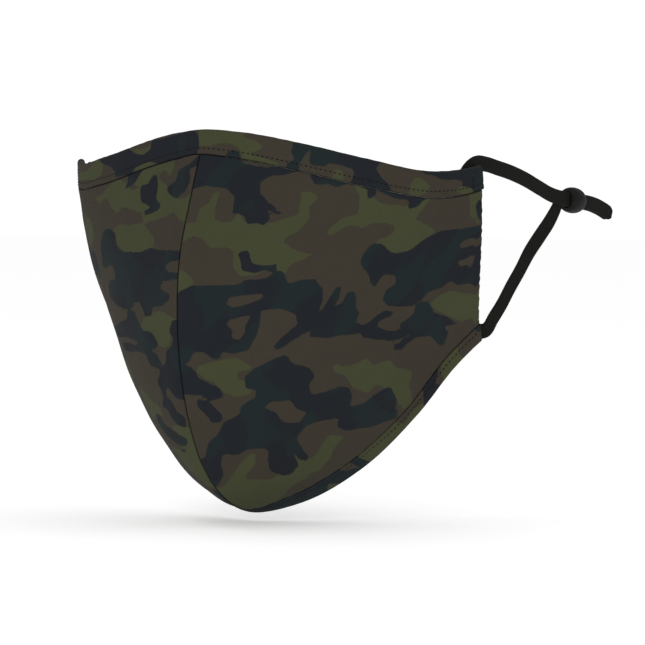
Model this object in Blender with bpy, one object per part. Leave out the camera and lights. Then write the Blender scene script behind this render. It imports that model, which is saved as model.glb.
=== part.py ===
"""Cloth face mask with a curved centre seam, folded edge bands and adjustable ear loops.

The mask stands in its own frame, in metres: +Z is up, -Y is the front, +X is the wearer's left,
and the origin is the middle of the opening that the face goes into. Lengths below are in
millimetres, and to_metres turns them into metres when a mesh is made.
"""

import math

import bmesh
import bpy
import numpy as np
from mathutils import Matrix, Vector

MM = 0.001

# Driving dimensions of the cloth, in millimetres.
OUTER_CLOTH = 0.5
INTERLINING_DEPTH = 0.85
INTERLINING_CLOTH = 0.35
LINING_DEPTH = 1.55
LINING_CLOTH = 0.45
FOLD_RADIUS = 1.425
HEM_RETURN = 6.5
BAND_RETURN_GAP = 0.5
SEAM_GAP = 0.7
PLY_GAP = 0.3
PLY_TUCK = 4.2
EASE = -3.6
EASE_SKEW = 1.6

# How finely the cloth and its outlines are divided.
COLUMNS = 14
ROWS = 14
FOLD_STEPS = 5
CURVE_SAMPLES = 240
SMOOTH_ANGLE = 40.0

# Nose wire: a flat aluminium strip inside the top band.
WIRE_DEPTH = 1.15
WIRE_THICKNESS = 0.5
WIRE_LOW = 4.9
WIRE_HIGH = 8.1
WIRE_COLUMNS = 6

# Flat elastic and its bead.
STRAP_WIDTH = 5.6
STRAP_THICKNESS = 1.1
STRAP_CHAMFER = 0.3
STRAP_STEP = 3.0
LAYER_OFFSET = 0.75
STRAND_END = 5.1
STRAND_STRAIGHT = 8.0
FACE_GAP = 0.3
BEAD_DIAMETER = 9.8
BEAD_LENGTH = 8.2
BEAD_END_DIAMETER = 7.8
BEAD_SEGMENTS = 28
BEAD_RINGS = 9
TAIL_STATIONS = 13
SLOT_HEIGHT = 6.3
SLOT_WIDTH = 3.3
SLOT_CORNER_WIDTH = 0.6
SLOT_CORNER_HEIGHT = 0.8

# Colour, roughness and metallic value of each material.
PRINTED_CLOTH = ((0.045, 0.047, 0.030), 0.85, 0.0)
INTERLINING_CLOTH_FINISH = ((0.55, 0.55, 0.53), 0.95, 0.0)
LINING_CLOTH_FINISH = ((0.02, 0.02, 0.02), 0.9, 0.0)
WIRE_FINISH = ((0.8, 0.8, 0.8), 0.35, 1.0)
ELASTIC_FINISH = ((0.012, 0.012, 0.011), 0.85, 0.0)
BEAD_FINISH = ((0.008, 0.008, 0.008), 0.55, 0.0)

# Outlines of the wearer's left half, from the middle (x = 0) to the side edge.
CENTRE_SEAM = (
    (0.0, -22.0, -73.5),
    (0.0, -46.5, -65.3),
    (0.0, -60.5, -54.0),
    (0.0, -71.5, -37.0),
    (0.0, -79.5, -6.0),
    (0.0, -78.0, 18.5),
    (0.0, -68.5, 41.0),
    (0.0, -61.5, 55.3),
)
TOP_SEAM = (
    (0.0, -61.5, 55.3),
    (12.0, -56.0, 53.7),
    (33.5, -47.0, 48.9),
    (53.5, -34.2, 43.5),
    (72.0, -15.5, 39.8),
    (82.3, 3.0, 42.9),
)
TOP_EDGE = (
    (0.0, -57.4, 64.5),
    (12.3, -54.4, 63.3),
    (33.0, -46.6, 59.1),
    (53.0, -34.5, 53.7),
    (70.5, -17.0, 49.4),
    (82.3, 1.3, 51.6),
)
BOTTOM_SEAM = (
    (0.0, -22.0, -73.5),
    (14.5, -18.5, -68.9),
    (33.0, -8.5, -57.3),
    (51.0, 1.0, -39.2),
    (66.8, 11.5, -15.9),
    (75.6, 16.9, -6.1),
)
BOTTOM_EDGE = (
    (0.0, -15.0, -75.5),
    (17.0, -8.0, -71.5),
    (36.3, 0.6, -59.3),
    (55.6, 7.2, -39.2),
    (67.6, 13.8, -21.9),
    (74.8, 20.7, -13.0),
)
SIDE_EDGE = (
    (75.6, 16.9, -6.1),
    (79.6, 6.8, 17.3),
    (82.3, 3.0, 42.9),
)

# The elastic's route from the point where it leaves the mask to the bead, on the wearer's left,
# with the direction that its wide face looks in. The right side is its mirror, a little lower.
UPPER_ROUTE = (
    ((78.8, 4.5, 52.3), (0.90, -0.42, 0.00)),
    ((80.6, 9.4, 52.0), (0.95, -0.30, 0.05)),
    ((82.4, 15.4, 50.8), (0.97, -0.22, 0.05)),
    ((83.9, 24.3, 49.3), (0.98, -0.17, 0.02)),
    ((85.8, 35.1, 46.8), (0.98, -0.17, 0.00)),
    ((87.6, 45.9, 43.6), (0.98, -0.17, 0.00)),
    ((89.2, 54.8, 41.0), (0.98, -0.17, 0.00)),
)
LOWER_ROUTE = (
    ((74.5, 24.6, -8.7), (0.92, -0.38, 0.00)),
    ((76.4, 28.0, -4.2), (0.94, -0.32, 0.00)),
    ((78.2, 31.6, 0.6), (0.95, -0.30, 0.00)),
    ((79.9, 35.6, 6.4), (0.95, -0.30, 0.00)),
    ((81.8, 40.9, 12.9), (0.95, -0.30, 0.00)),
    ((83.6, 46.2, 19.7), (0.90, -0.42, 0.00)),
    ((85.6, 52.2, 25.8), (0.86, -0.50, 0.00)),
    ((87.5, 57.3, 31.2), (0.90, -0.40, 0.00)),
    ((88.9, 60.4, 35.8), (0.97, -0.22, 0.00)),
)
UPPER_SEWN = (((75.4, -2.6, 44.0), (0.86, -0.50, 0.00)),)
LOWER_SEWN = (
    ((66.8, 17.4, -12.0), (0.78, -0.58, -0.20)),
    ((71.2, 21.3, -9.2), (0.80, -0.55, -0.20)),
)
RIGHT_UPPER_DROP = (1.6, 1.4, 0.6)
BEAD_CENTRE = (91.8, 70.4, 39.0)
BEAD_AXIS = (0.166, 0.983, -0.080)
TAIL_ROUTE = (
    (94.4, 86.4, 37.3),
    (95.6, 93.2, 35.6),
    (96.6, 98.6, 33.6),
)
TAIL_FACING = (0.985, -0.166, 0.0)
SIDES = (("left", 1), ("right", -1))


def to_metres(points):
    """Millimetre points as metres."""
    return np.asarray(points, float) * MM


def unit(vectors):
    """Vectors made one long."""
    vectors = np.asarray(vectors, float)
    return vectors / np.linalg.norm(vectors, axis=-1, keepdims=True)


def smooth_curve(points, samples=CURVE_SAMPLES):
    """A dense line through the points, with its tangents taken from their neighbours."""
    knots = np.asarray(points, float)
    gaps = np.linalg.norm(np.diff(knots[:, :3], axis=0), axis=1)
    places = np.concatenate([[0.0], np.cumsum(gaps)])
    slopes = np.gradient(knots, places, axis=0, edge_order=2)
    at = np.linspace(0.0, places[-1], samples)
    cell = np.clip(np.searchsorted(places, at, side="right") - 1, 0, len(gaps) - 1)
    span = gaps[cell][:, None]
    t = (at - places[cell])[:, None] / span
    start = (2 * t**3 - 3 * t**2 + 1) * knots[cell] + (t**3 - 2 * t**2 + t) * span * slopes[cell]
    end = (3 * t**2 - 2 * t**3) * knots[cell + 1] + (t**3 - t**2) * span * slopes[cell + 1]
    return start + end


def spaced(line, fractions):
    """Points at these fractions of the line's length."""
    steps = np.linalg.norm(np.diff(line[:, :3], axis=0), axis=1)
    length = np.concatenate([[0.0], np.cumsum(steps)])
    at = np.asarray(fractions, float) * length[-1]
    return np.column_stack([np.interp(at, length, line[:, k]) for k in range(line.shape[1])])


def line_length(line):
    """The length of a dense line."""
    return float(np.linalg.norm(np.diff(line[:, :3], axis=0), axis=1).sum())


def half_curve(points):
    """The left half of a curve that runs on smoothly into its own mirror image at x = 0."""
    half = np.asarray(points, float)
    mirrored = half[:0:-1] * (-1, 1, 1)
    whole = smooth_curve(np.vstack([mirrored, half]), 2 * CURVE_SAMPLES + 1)
    return whole[CURVE_SAMPLES:]


def cloth_surface():
    """The outer surface of the left half, edge to edge, as a grid of points and its normals.

    Columns run from the centre to the side edge. Rows run from the bottom edge, through the
    bottom seam line and the panel, to the top seam line and the top edge.
    """
    u = np.linspace(0.0, 1.0, COLUMNS + 1)
    v = np.linspace(0.0, 1.0, ROWS + 1)
    seam = spaced(smooth_curve(CENTRE_SEAM), v)
    side = spaced(smooth_curve(SIDE_EDGE), v)
    bottom = spaced(half_curve(BOTTOM_SEAM), u)
    top = spaced(half_curve(TOP_SEAM), u)
    across = u[:, None, None]
    up = v[None, :, None]
    ruled = (1 - across) * seam[None] + across * side[None]
    lofted = (1 - up) * bottom[:, None] + up * top[:, None]
    low = (1 - across) * bottom[0] + across * bottom[-1]
    high = (1 - across) * top[0] + across * top[-1]
    panel = ruled + lofted - (1 - up) * low - up * high
    ease = EASE * np.sin(math.pi * across**EASE_SKEW) * np.sin(math.pi * up)
    panel = panel + ease * grid_normals(panel)
    bottom_edge = spaced(half_curve(BOTTOM_EDGE), u)
    top_edge = spaced(half_curve(TOP_EDGE), u)
    grid = np.concatenate([bottom_edge[:, None], panel, top_edge[:, None]], axis=1)
    return grid, grid_normals(grid)


def grid_normals(grid):
    """Outward normals of a left-half grid, level with its mirror image at the centre column."""
    mirrored = grid[1:2] * (-1, 1, 1)
    padded = np.concatenate([mirrored, grid], axis=0)
    along = np.gradient(padded, axis=0)[1:]
    upward = np.gradient(grid, axis=1)
    return unit(np.cross(along, upward))


def new_material(name, finish):
    """A plain Principled material of a (colour, roughness, metallic) finish."""
    colour, roughness, metallic = finish
    made = bpy.data.materials.new(name)
    made.use_nodes = True
    shader = made.node_tree.nodes["Principled BSDF"]
    shader.inputs["Base Color"].default_value = (*colour, 1.0)
    shader.inputs["Roughness"].default_value = roughness
    shader.inputs["Metallic"].default_value = metallic
    return made


def new_object(name, mesh, material, origin=(0.0, 0.0, 0.0), parent=None):
    """An object whose mesh is given in world millimetres, with its origin in metres."""
    mesh.transform(Matrix.Translation(-Vector(origin)))
    mesh.materials.append(material)
    mesh.shade_smooth()
    mesh.set_sharp_from_angle(angle=math.radians(SMOOTH_ANGLE))
    made = bpy.data.objects.new(name, mesh)
    bpy.context.scene.collection.objects.link(made)
    made.location = origin
    if parent:
        made.parent = parent
        made.location = Vector(origin) - parent.location
    return made


def sheet_mesh(name, grid, flip):
    """A one-sided mesh of a grid of points, one quad for each cell."""
    made = bmesh.new()
    columns, rows = grid.shape[:2]
    points = [[made.verts.new(point) for point in column] for column in to_metres(grid)]
    for i in range(columns - 1):
        for j in range(rows - 1):
            corners = [points[i][j], points[i + 1][j], points[i + 1][j + 1], points[i][j + 1]]
            made.faces.new(corners[::-1] if flip else corners)
    mesh = bpy.data.meshes.new(name)
    made.to_mesh(mesh)
    made.free()
    return mesh


def cloth_piece(name, grid, thickness, material, flip=False):
    """A ply of cloth: its outer surface given as a grid, thickened inwards."""
    piece = new_object(name, sheet_mesh(name, grid, flip), material)
    solidify = piece.modifiers.new("cloth_thickness", "SOLIDIFY")
    solidify.thickness = thickness * MM
    solidify.offset = -1.0
    return piece


def lofted_mesh(name, rings):
    """A closed mesh through a row of rings of points, with a flat cap at each end."""
    made = bmesh.new()
    loops = [[made.verts.new(point) for point in ring] for ring in to_metres(rings)]
    size = len(loops[0])
    for first, second in zip(loops, loops[1:]):
        for k in range(size):
            following = (k + 1) % size
            made.faces.new((first[k], first[following], second[following], second[k]))
    made.faces.new(loops[0][::-1])
    made.faces.new(loops[-1])
    bmesh.ops.recalc_face_normals(made, faces=made.faces)
    mesh = bpy.data.meshes.new(name)
    made.to_mesh(mesh)
    made.free()
    return mesh


def mirrored_x(points, sign):
    """Points as they are for the left side, or mirrored in x for the right."""
    return np.asarray(points, float) * (sign, 1, 1)


def side_fold(edge, outward, normals):
    """Columns that carry the outer cloth round the side edge and back inside, as a hem."""
    centre = edge - FOLD_RADIUS * outward - FOLD_RADIUS * normals
    columns = [
        centre + FOLD_RADIUS * (math.cos(turn) * normals + math.sin(turn) * outward)
        for turn in np.linspace(0.0, math.pi, FOLD_STEPS)
    ]
    columns.append(columns[-1] - HEM_RETURN * outward)
    return columns


def side_direction(grid, normals):
    """Directions along the cloth, out past the side edge."""
    outward = grid[-1] - grid[-2]
    outward = outward - (outward * normals[-1]).sum(1, keepdims=True) * normals[-1]
    return unit(outward)


def add_outer_panel(name, sign, grid, normals, material):
    """One half of the outer cloth, from the centre seam to the hem round the side edge."""
    outward = side_direction(grid, normals)
    panel = grid[:, 1:-1].copy()
    folds = side_fold(panel[-1], outward[1:-1], normals[-1, 1:-1])
    columns = np.concatenate([panel[:-1], np.stack(folds)], axis=0)
    columns[0, :, 0] = SEAM_GAP / 2
    columns[:, 0] += PLY_GAP / 2 * unit(columns[:, 1] - columns[:, 0])
    columns[:, -1] += PLY_GAP / 2 * unit(columns[:, -2] - columns[:, -1])
    cloth_piece(name, mirrored_x(columns, sign), OUTER_CLOTH, material, flip=sign < 0)


def tucked_row(grid, normals, line, edge, depth):
    """The row of an inner ply where it ends inside a folded band."""
    run = grid[:, edge] - grid[:, line]
    share = PLY_TUCK / np.linalg.norm(run, axis=1, keepdims=True)
    facing = unit((1 - share) * normals[:, line] + share * normals[:, edge])
    return grid[:, line] + share * run - depth * facing


def add_inner_ply(name, sign, grid, normals, depth, thickness, material):
    """One half of an inner ply, from the centre seam to just inside the side fold."""
    outward = side_direction(grid, normals)
    rows = grid[:, 1:-1] - depth * normals[:, 1:-1]
    low = tucked_row(grid, normals, 1, 0, depth)
    high = tucked_row(grid, normals, -2, -1, depth)
    ply = np.concatenate([low[:, None], rows, high[:, None]], axis=1)
    inset = FOLD_RADIUS + PLY_GAP
    ply[-1] -= inset * np.concatenate([outward[1:2], outward[1:-1], outward[-2:-1]])
    ply[0, :, 0] = SEAM_GAP / 2
    cloth_piece(name, mirrored_x(ply, sign), thickness, material, flip=sign < 0)


def band_point(line, run, line_normal, edge_normal, place, depth):
    """A point of a band: this far from its seam line towards its edge, and this far inside."""
    length = np.linalg.norm(run, axis=1, keepdims=True)
    share = place / length
    facing = unit((1 - share) * line_normal + share * edge_normal)
    return line + share * run - depth * facing


def whole_width(rows):
    """Rows of the left half joined to their mirror images, as columns from right to left."""
    left = np.stack(rows, axis=1)
    right = left[:0:-1] * (-1, 1, 1)
    return np.concatenate([right, left], axis=0)


def add_band(name, grid, normals, line, edge, material, flip):
    """A strip folded over an edge of the mask, with a leg outside and a leg inside."""
    start = grid[:, line]
    run = grid[:, edge] - start
    length = np.linalg.norm(run, axis=1, keepdims=True)
    places = [(PLY_GAP / 2, 0.0), (length / 2, 0.0)]
    for turn in np.linspace(0.0, math.pi, FOLD_STEPS):
        along = length - FOLD_RADIUS + FOLD_RADIUS * math.sin(turn)
        places.append((along, FOLD_RADIUS - FOLD_RADIUS * math.cos(turn)))
    places.append((length / 2, 2 * FOLD_RADIUS))
    places.append((BAND_RETURN_GAP, 2 * FOLD_RADIUS))
    rows = [
        band_point(start, run, normals[:, line], normals[:, edge], place, depth)
        for place, depth in places
    ]
    cloth_piece(name, whole_width(rows), OUTER_CLOTH, material, flip)


def add_nose_wire(grid, normals, material):
    """The flat strip of aluminium that is bent over the nose, inside the top band."""
    middle = slice(0, WIRE_COLUMNS + 1)
    start = grid[middle, -2]
    run = grid[middle, -1] - start
    rows = [
        band_point(start, run, normals[middle, -2], normals[middle, -1], place, WIRE_DEPTH)
        for place in (WIRE_LOW, WIRE_HIGH)
    ]
    cloth_piece("nose_wire", whole_width(rows), WIRE_THICKNESS, material)


def strap_ring(point, facing, tangent):
    """The outline of flat elastic across its run, its wide face looking along facing."""
    facing = unit(facing - np.dot(facing, tangent) * tangent)
    across = np.cross(facing, tangent)
    wide = STRAP_WIDTH / 2
    deep = STRAP_THICKNESS / 2
    corners = (
        (wide, deep - STRAP_CHAMFER),
        (wide - STRAP_CHAMFER, deep),
        (STRAP_CHAMFER - wide, deep),
        (-wide, deep - STRAP_CHAMFER),
        (-wide, STRAP_CHAMFER - deep),
        (STRAP_CHAMFER - wide, -deep),
        (wide - STRAP_CHAMFER, -deep),
        (wide, STRAP_CHAMFER - deep),
    )
    return [point + a * across + b * facing for a, b in corners]


def with_tangents(line):
    """Stations of (point, facing) with the direction of the run added to each."""
    return np.hstack([line, unit(np.gradient(line[:, :3], axis=0))])


def strap_mesh(name, stations):
    """A stretch of elastic through stations of (point, facing, tangent), three numbers each."""
    rings = [strap_ring(row[:3], row[3:6], unit(row[6:])) for row in stations]
    return lofted_mesh(name, rings)


def stretch(line, start, end):
    """Stations along a dense line between two distances from its start."""
    length = line_length(line)
    count = max(3, round((end - start) / STRAP_STEP) + 1)
    return spaced(line, np.linspace(start, end, count) / length)


def route_line(points, lead_in):
    """The dense line of a route, from its listed points into the bead."""
    knots = [(*point, *facing) for point, facing in points]
    return with_tangents(smooth_curve([*knots, *lead_in]))


def bead_frame():
    """The bead's centre, axis and the direction that the elastic's faces look in there."""
    axis = unit(BEAD_AXIS)
    facing = unit(TAIL_FACING - np.dot(TAIL_FACING, axis) * axis)
    return np.array(BEAD_CENTRE), axis, facing


def lead_in(side_of_slot):
    """Stations in line with a layer of the bead's slot, the last at the bead's centre."""
    centre, axis, facing = bead_frame()
    layer = centre + side_of_slot * LAYER_OFFSET * facing
    return [(*(layer - reach * axis), *facing) for reach in (STRAND_STRAIGHT, STRAND_END, 0.0)]


def tail_stations():
    """The doubled end of the elastic: out through the bead, folded back, and in again."""
    centre, axis, facing = bead_frame()
    front = centre - (STRAND_END - FACE_GAP) * axis
    back = centre + STRAND_END * axis
    middle = smooth_curve([front, centre, back, *TAIL_ROUTE])
    middle = spaced(middle, np.linspace(0.0, 1.0, TAIL_STATIONS))
    tangents = unit(np.gradient(middle, axis=0))
    faces = unit(facing - (tangents @ facing)[:, None] * tangents)
    outgoing = np.hstack([middle + LAYER_OFFSET * faces, faces])
    turning = []
    for turn in (math.pi / 4, math.pi / 2, 3 * math.pi / 4):
        radial = math.cos(turn) * faces[-1] + math.sin(turn) * tangents[-1]
        turning.append((*(middle[-1] + LAYER_OFFSET * radial), *radial))
    incoming = np.hstack([middle - LAYER_OFFSET * faces, -faces])[::-1]
    return with_tangents(np.vstack([outgoing, turning, incoming]))


def side_routes(sign):
    """The upper and lower dense lines of one ear loop, from their sewn ends to the bead."""
    upper = [(list(point), facing) for point, facing in UPPER_ROUTE]
    if sign < 0:
        for (point, _), drop in zip(upper, RIGHT_UPPER_DROP):
            point[2] -= drop
    lower = [(list(point), facing) for point, facing in LOWER_ROUTE]
    upper_line = route_line([*UPPER_SEWN, *upper], lead_in(1))
    lower_line = route_line([*LOWER_SEWN, *lower], lead_in(-1))
    return upper_line, lower_line, upper[0][0], lower[0][0]


def distance_to(line, point):
    """How far along a dense line the point nearest to this one lies."""
    nearest = int(np.linalg.norm(line[:, :3] - point, axis=1).argmin())
    return line_length(line[: nearest + 1])


def add_ear_loop(side, sign, elastic, rubber):
    """One ear loop: two sewn ends, two strands, the doubled tail and the bead."""
    upper_line, lower_line, upper_exit, lower_exit = side_routes(sign)
    pivot = bpy.data.objects.new(f"ear_loop_{side}_pivot", None)
    pivot.location = to_metres(mirrored_x(upper_exit, sign))
    bpy.context.scene.collection.objects.link(pivot)
    mirror = (sign, 1, 1) * 3
    for part, line, leave in (("upper", upper_line, upper_exit), ("lower", lower_line, lower_exit)):
        leaves_at = distance_to(line, leave)
        sewn = stretch(line, 0.0, leaves_at) * mirror
        name = f"strap_end_{part}_{side}"
        new_object(name, strap_mesh(name, sewn), elastic)
        free = stretch(line, leaves_at + FACE_GAP, line_length(line) - STRAND_END) * mirror
        name = f"strand_{part}_{side}"
        new_object(name, strap_mesh(name, free), elastic, pivot.location, pivot)
    name = f"strap_tail_{side}"
    new_object(name, strap_mesh(name, tail_stations() * mirror), elastic, pivot.location, pivot)
    add_bead(side, sign, rubber)


def slot_outline():
    """The outline of the bead's slot, an oblong with its corners cut off."""
    wide = SLOT_WIDTH / 2
    high = SLOT_HEIGHT / 2
    quarter = ((wide, high * SLOT_CORNER_HEIGHT), (wide * SLOT_CORNER_WIDTH, high))
    upper = [*quarter, *[(-x, y) for x, y in quarter[::-1]]]
    return [*upper, *[(-x, -y) for x, y in upper]]


def bead_placement(sign):
    """The bead's matrix: local Z along the elastic, local X across its layers."""
    centre, axis, facing = bead_frame()
    along = Vector(mirrored_x(axis, sign))
    through = Vector(mirrored_x(facing, sign))
    rotation = Matrix((through, along.cross(through), along)).transposed().to_4x4()
    return Matrix.Translation(to_metres(mirrored_x(centre, sign))) @ rotation


def add_bead(side, sign, rubber):
    """The barrel-shaped bead, with the slot that both layers of elastic pass through."""
    rings = []
    for place in np.linspace(-1.0, 1.0, BEAD_RINGS):
        swell = math.sqrt(max(0.0, 1.0 - place**2))
        radius = BEAD_END_DIAMETER / 2 + (BEAD_DIAMETER - BEAD_END_DIAMETER) / 2 * swell
        turns = np.arange(BEAD_SEGMENTS) * 2 * math.pi / BEAD_SEGMENTS
        height = np.full(BEAD_SEGMENTS, place * BEAD_LENGTH / 2)
        rings.append(np.column_stack([radius * np.cos(turns), radius * np.sin(turns), height]))
    bead = new_object(f"bead_{side}", lofted_mesh(f"bead_{side}", rings), rubber)
    bead.matrix_world = bead_placement(sign)
    slot = [[(x, y, end) for x, y in slot_outline()] for end in (-BEAD_LENGTH, BEAD_LENGTH)]
    cutter = new_object(f"bead_slot_{side}", lofted_mesh(f"bead_slot_{side}", slot), rubber)
    cutter.matrix_world = bead_placement(sign)
    cutter.hide_render = True
    cutter.display_type = "WIRE"
    cut = bead.modifiers.new("slot", "BOOLEAN")
    cut.operation = "DIFFERENCE"
    cut.solver = "EXACT"
    cut.object = cutter


def main():
    """Clears the scene and builds the mask."""
    for old in list(bpy.data.objects):
        bpy.data.objects.remove(old)
    printed = new_material("printed_cloth", PRINTED_CLOTH)
    backing = new_material("interlining", INTERLINING_CLOTH_FINISH)
    lining = new_material("lining", LINING_CLOTH_FINISH)
    metal = new_material("aluminium", WIRE_FINISH)
    elastic = new_material("elastic", ELASTIC_FINISH)
    rubber = new_material("rubber", BEAD_FINISH)
    grid, normals = cloth_surface()
    for side, sign in SIDES:
        add_outer_panel(f"outer_panel_{side}", sign, grid, normals, printed)
        add_inner_ply(
            f"interlining_{side}", sign, grid, normals, INTERLINING_DEPTH, INTERLINING_CLOTH, backing
        )
        add_inner_ply(f"lining_{side}", sign, grid, normals, LINING_DEPTH, LINING_CLOTH, lining)
    add_band("top_band", grid, normals, -2, -1, printed, flip=False)
    add_band("bottom_band", grid, normals, 1, 0, printed, flip=True)
    add_nose_wire(grid, normals, metal)
    for side, sign in SIDES:
        add_ear_loop(side, sign, elastic, rubber)


if __name__ == "__main__":
    main()
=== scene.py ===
"""Looks of a cloth face mask with a camouflage print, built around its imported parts.

The mask stands in its own frame: +Z is up, -Y is the front and +X is the wearer's left. Sizes are
in millimetres unless a name says otherwise, and become metres when a mesh is made.
"""

import logging
import math
from collections.abc import Callable, Sequence
from dataclasses import dataclass, field, replace
from enum import Enum

import bmesh
import bpy
import numpy as np
from mathutils import Matrix, Vector


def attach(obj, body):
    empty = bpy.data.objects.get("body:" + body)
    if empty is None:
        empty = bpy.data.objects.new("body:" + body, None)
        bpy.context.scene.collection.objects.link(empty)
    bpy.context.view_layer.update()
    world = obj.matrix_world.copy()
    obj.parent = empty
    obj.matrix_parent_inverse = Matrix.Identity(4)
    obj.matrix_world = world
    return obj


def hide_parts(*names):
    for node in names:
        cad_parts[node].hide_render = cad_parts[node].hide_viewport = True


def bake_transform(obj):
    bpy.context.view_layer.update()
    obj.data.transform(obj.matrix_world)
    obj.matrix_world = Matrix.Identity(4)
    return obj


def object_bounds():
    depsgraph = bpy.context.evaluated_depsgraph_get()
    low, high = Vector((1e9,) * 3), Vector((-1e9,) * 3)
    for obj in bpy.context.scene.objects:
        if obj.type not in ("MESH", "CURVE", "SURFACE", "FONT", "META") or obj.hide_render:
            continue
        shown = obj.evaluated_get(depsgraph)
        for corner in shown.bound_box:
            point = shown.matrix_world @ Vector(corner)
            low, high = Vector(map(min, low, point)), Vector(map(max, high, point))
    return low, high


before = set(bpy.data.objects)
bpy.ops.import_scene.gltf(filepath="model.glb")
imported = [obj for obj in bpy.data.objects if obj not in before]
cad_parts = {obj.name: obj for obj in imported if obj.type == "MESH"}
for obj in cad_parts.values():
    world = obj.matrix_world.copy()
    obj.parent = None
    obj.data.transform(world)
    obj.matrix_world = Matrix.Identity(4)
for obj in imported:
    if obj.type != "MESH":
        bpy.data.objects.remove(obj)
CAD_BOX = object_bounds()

LOG = logging.getLogger("face_mask")
MM = 0.001
CLOTH_UV = "cloth"
CLOTH_UV_UNIT = 100.0
CURVE_SAMPLES = 480

Point = tuple[float, float, float]
Outline = tuple[tuple[float, float], ...]


class Side(Enum):
    """The wearer's two sides."""

    LEFT = "left"
    RIGHT = "right"

    @property
    def sign(self) -> int:
        """+1 on the wearer's left, where x is positive, and -1 on the right."""
        return 1 if self is Side.LEFT else -1


class Edge(Enum):
    """The two edges of the mask that carry a folded band."""

    TOP = "top"
    BOTTOM = "bottom"


class Ink(Enum):
    """The inks printed over the brown ground, and the mesh attribute that places each one."""

    OLIVE = "print_olive"
    DARK = "print_dark"
    GROUND = "print_ground"


# ---------------------------------------------------------------------------------------------
# Lines and surfaces
# ---------------------------------------------------------------------------------------------


def unit(vectors: np.ndarray) -> np.ndarray:
    """Vectors made one long."""
    vectors = np.asarray(vectors, float)
    return vectors / np.maximum(np.linalg.norm(vectors, axis=-1, keepdims=True), 1e-12)


def running_length(points: np.ndarray, axis: int = 0) -> np.ndarray:
    """Distance from the first point along a line, or along each line of a grid.

    Args:
        points: places, with the coordinates in the last dimension.
        axis: the dimension that the line runs along.

    Returns:
        The distances, zero at the first point.
    """
    steps = np.linalg.norm(np.diff(points[..., :3], axis=axis), axis=-1)
    shape = list(steps.shape)
    shape[axis] = 1
    return np.concatenate([np.zeros(shape), np.cumsum(steps, axis=axis)], axis=axis)


def smooth_curve(points: Sequence[Sequence[float]], samples: int = CURVE_SAMPLES) -> np.ndarray:
    """A dense smooth line through the points.

    Args:
        points: the knots, with any further numbers after the first three carried along.
        samples: how many points the dense line has.

    Returns:
        The dense line.
    """
    knots = np.asarray(points, float)
    gaps = np.linalg.norm(np.diff(knots[:, :3], axis=0), axis=1)
    places = np.concatenate([[0.0], np.cumsum(gaps)])
    slopes = np.gradient(knots, places, axis=0, edge_order=2)
    at = np.linspace(0.0, places[-1], samples)
    cell = np.clip(np.searchsorted(places, at, side="right") - 1, 0, len(gaps) - 1)
    span = gaps[cell][:, None]
    t = (at - places[cell])[:, None] / span
    start = (2 * t**3 - 3 * t**2 + 1) * knots[cell] + (t**3 - 2 * t**2 + t) * span * slopes[cell]
    end = (3 * t**2 - 2 * t**3) * knots[cell + 1] + (t**3 - t**2) * span * slopes[cell + 1]
    return start + end


def spaced(line: np.ndarray, shares: np.ndarray) -> np.ndarray:
    """Points of a dense line at these shares of its length."""
    length = running_length(line)
    at = np.asarray(shares, float) * length[-1]
    return np.column_stack([np.interp(at, length, line[:, k]) for k in range(line.shape[1])])


def half_curve(points: Sequence[Point]) -> np.ndarray:
    """The left half of a line that runs on smoothly into its own mirror image at x = 0."""
    half = np.asarray(points, float)
    mirrored = half[:0:-1] * (-1, 1, 1)
    whole = smooth_curve(np.vstack([mirrored, half]), 2 * CURVE_SAMPLES + 1)
    return whole[CURVE_SAMPLES:]


def grid_normals(grid: np.ndarray) -> np.ndarray:
    """Outward directions of a left-half grid, level with its mirror image at the first column."""
    mirrored = grid[1:2] * (-1, 1, 1)
    padded = np.concatenate([mirrored, grid], axis=0)
    along = np.gradient(padded, axis=0)[1:]
    upward = np.gradient(grid, axis=1)
    return unit(np.cross(along, upward))


def between(values: np.ndarray, at_across: np.ndarray, at_up: np.ndarray) -> np.ndarray:
    """Values of an even grid read at other shares of its width and height."""
    columns = np.linspace(0.0, 1.0, values.shape[0])
    rows = np.linspace(0.0, 1.0, values.shape[1])
    wide = np.stack([_interp_rows(at_across, columns, values[:, j]) for j in range(len(rows))], 1)
    return np.stack([_interp_rows(at_up, rows, wide[i]) for i in range(len(at_across))], 0)


def _interp_rows(at: np.ndarray, places: np.ndarray, values: np.ndarray) -> np.ndarray:
    """Vectors listed at some places, read at others."""
    return np.column_stack([np.interp(at, places, values[:, k]) for k in range(values.shape[1])])


def crowded_shares(count: int, near: Sequence[float], both_ends: bool) -> np.ndarray:
    """Shares from 0 to 1 that are even, with extra ones close to the start, or to both ends.

    Args:
        count: how many even steps there are.
        near: the extra shares at the start.
        both_ends: whether the end has them too.

    Returns:
        The shares in order.
    """
    even = np.linspace(0.0, 1.0, count + 1)
    extra = [*near, *([1.0 - share for share in near] if both_ends else [])]
    keep = even[(even > max(near)) | (even == 0.0)]
    if both_ends:
        keep = keep[(keep < 1.0 - max(near)) | (keep == 1.0)]
    return np.unique(np.round(np.concatenate([keep, extra]), 7))


def rolled(distance: np.ndarray, radius: float) -> np.ndarray:
    """How deep cloth lies where it turns down into a seam, by distance from the seam."""
    inside = np.clip(radius - distance, 0.0, radius)
    return radius - np.sqrt(np.maximum(radius**2 - inside**2, 0.0))


def handmade(along: np.ndarray, height: np.ndarray, size: float) -> np.ndarray:
    """The slow unevenness of sewn cloth, as a depth.

    Args:
        along: distance across the cloth.
        height: height on the cloth.
        size: the greatest depth.

    Returns:
        The depths, from -size to size.
    """
    slow = np.sin(0.083 * along + 0.061 * height + 0.7)
    middle = np.sin(0.17 * along - 0.11 * height + 2.1)
    quick = np.sin(0.29 * height + 0.13 * along + 4.0)
    return size * (0.5 * slow + 0.32 * middle + 0.18 * quick)


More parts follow.
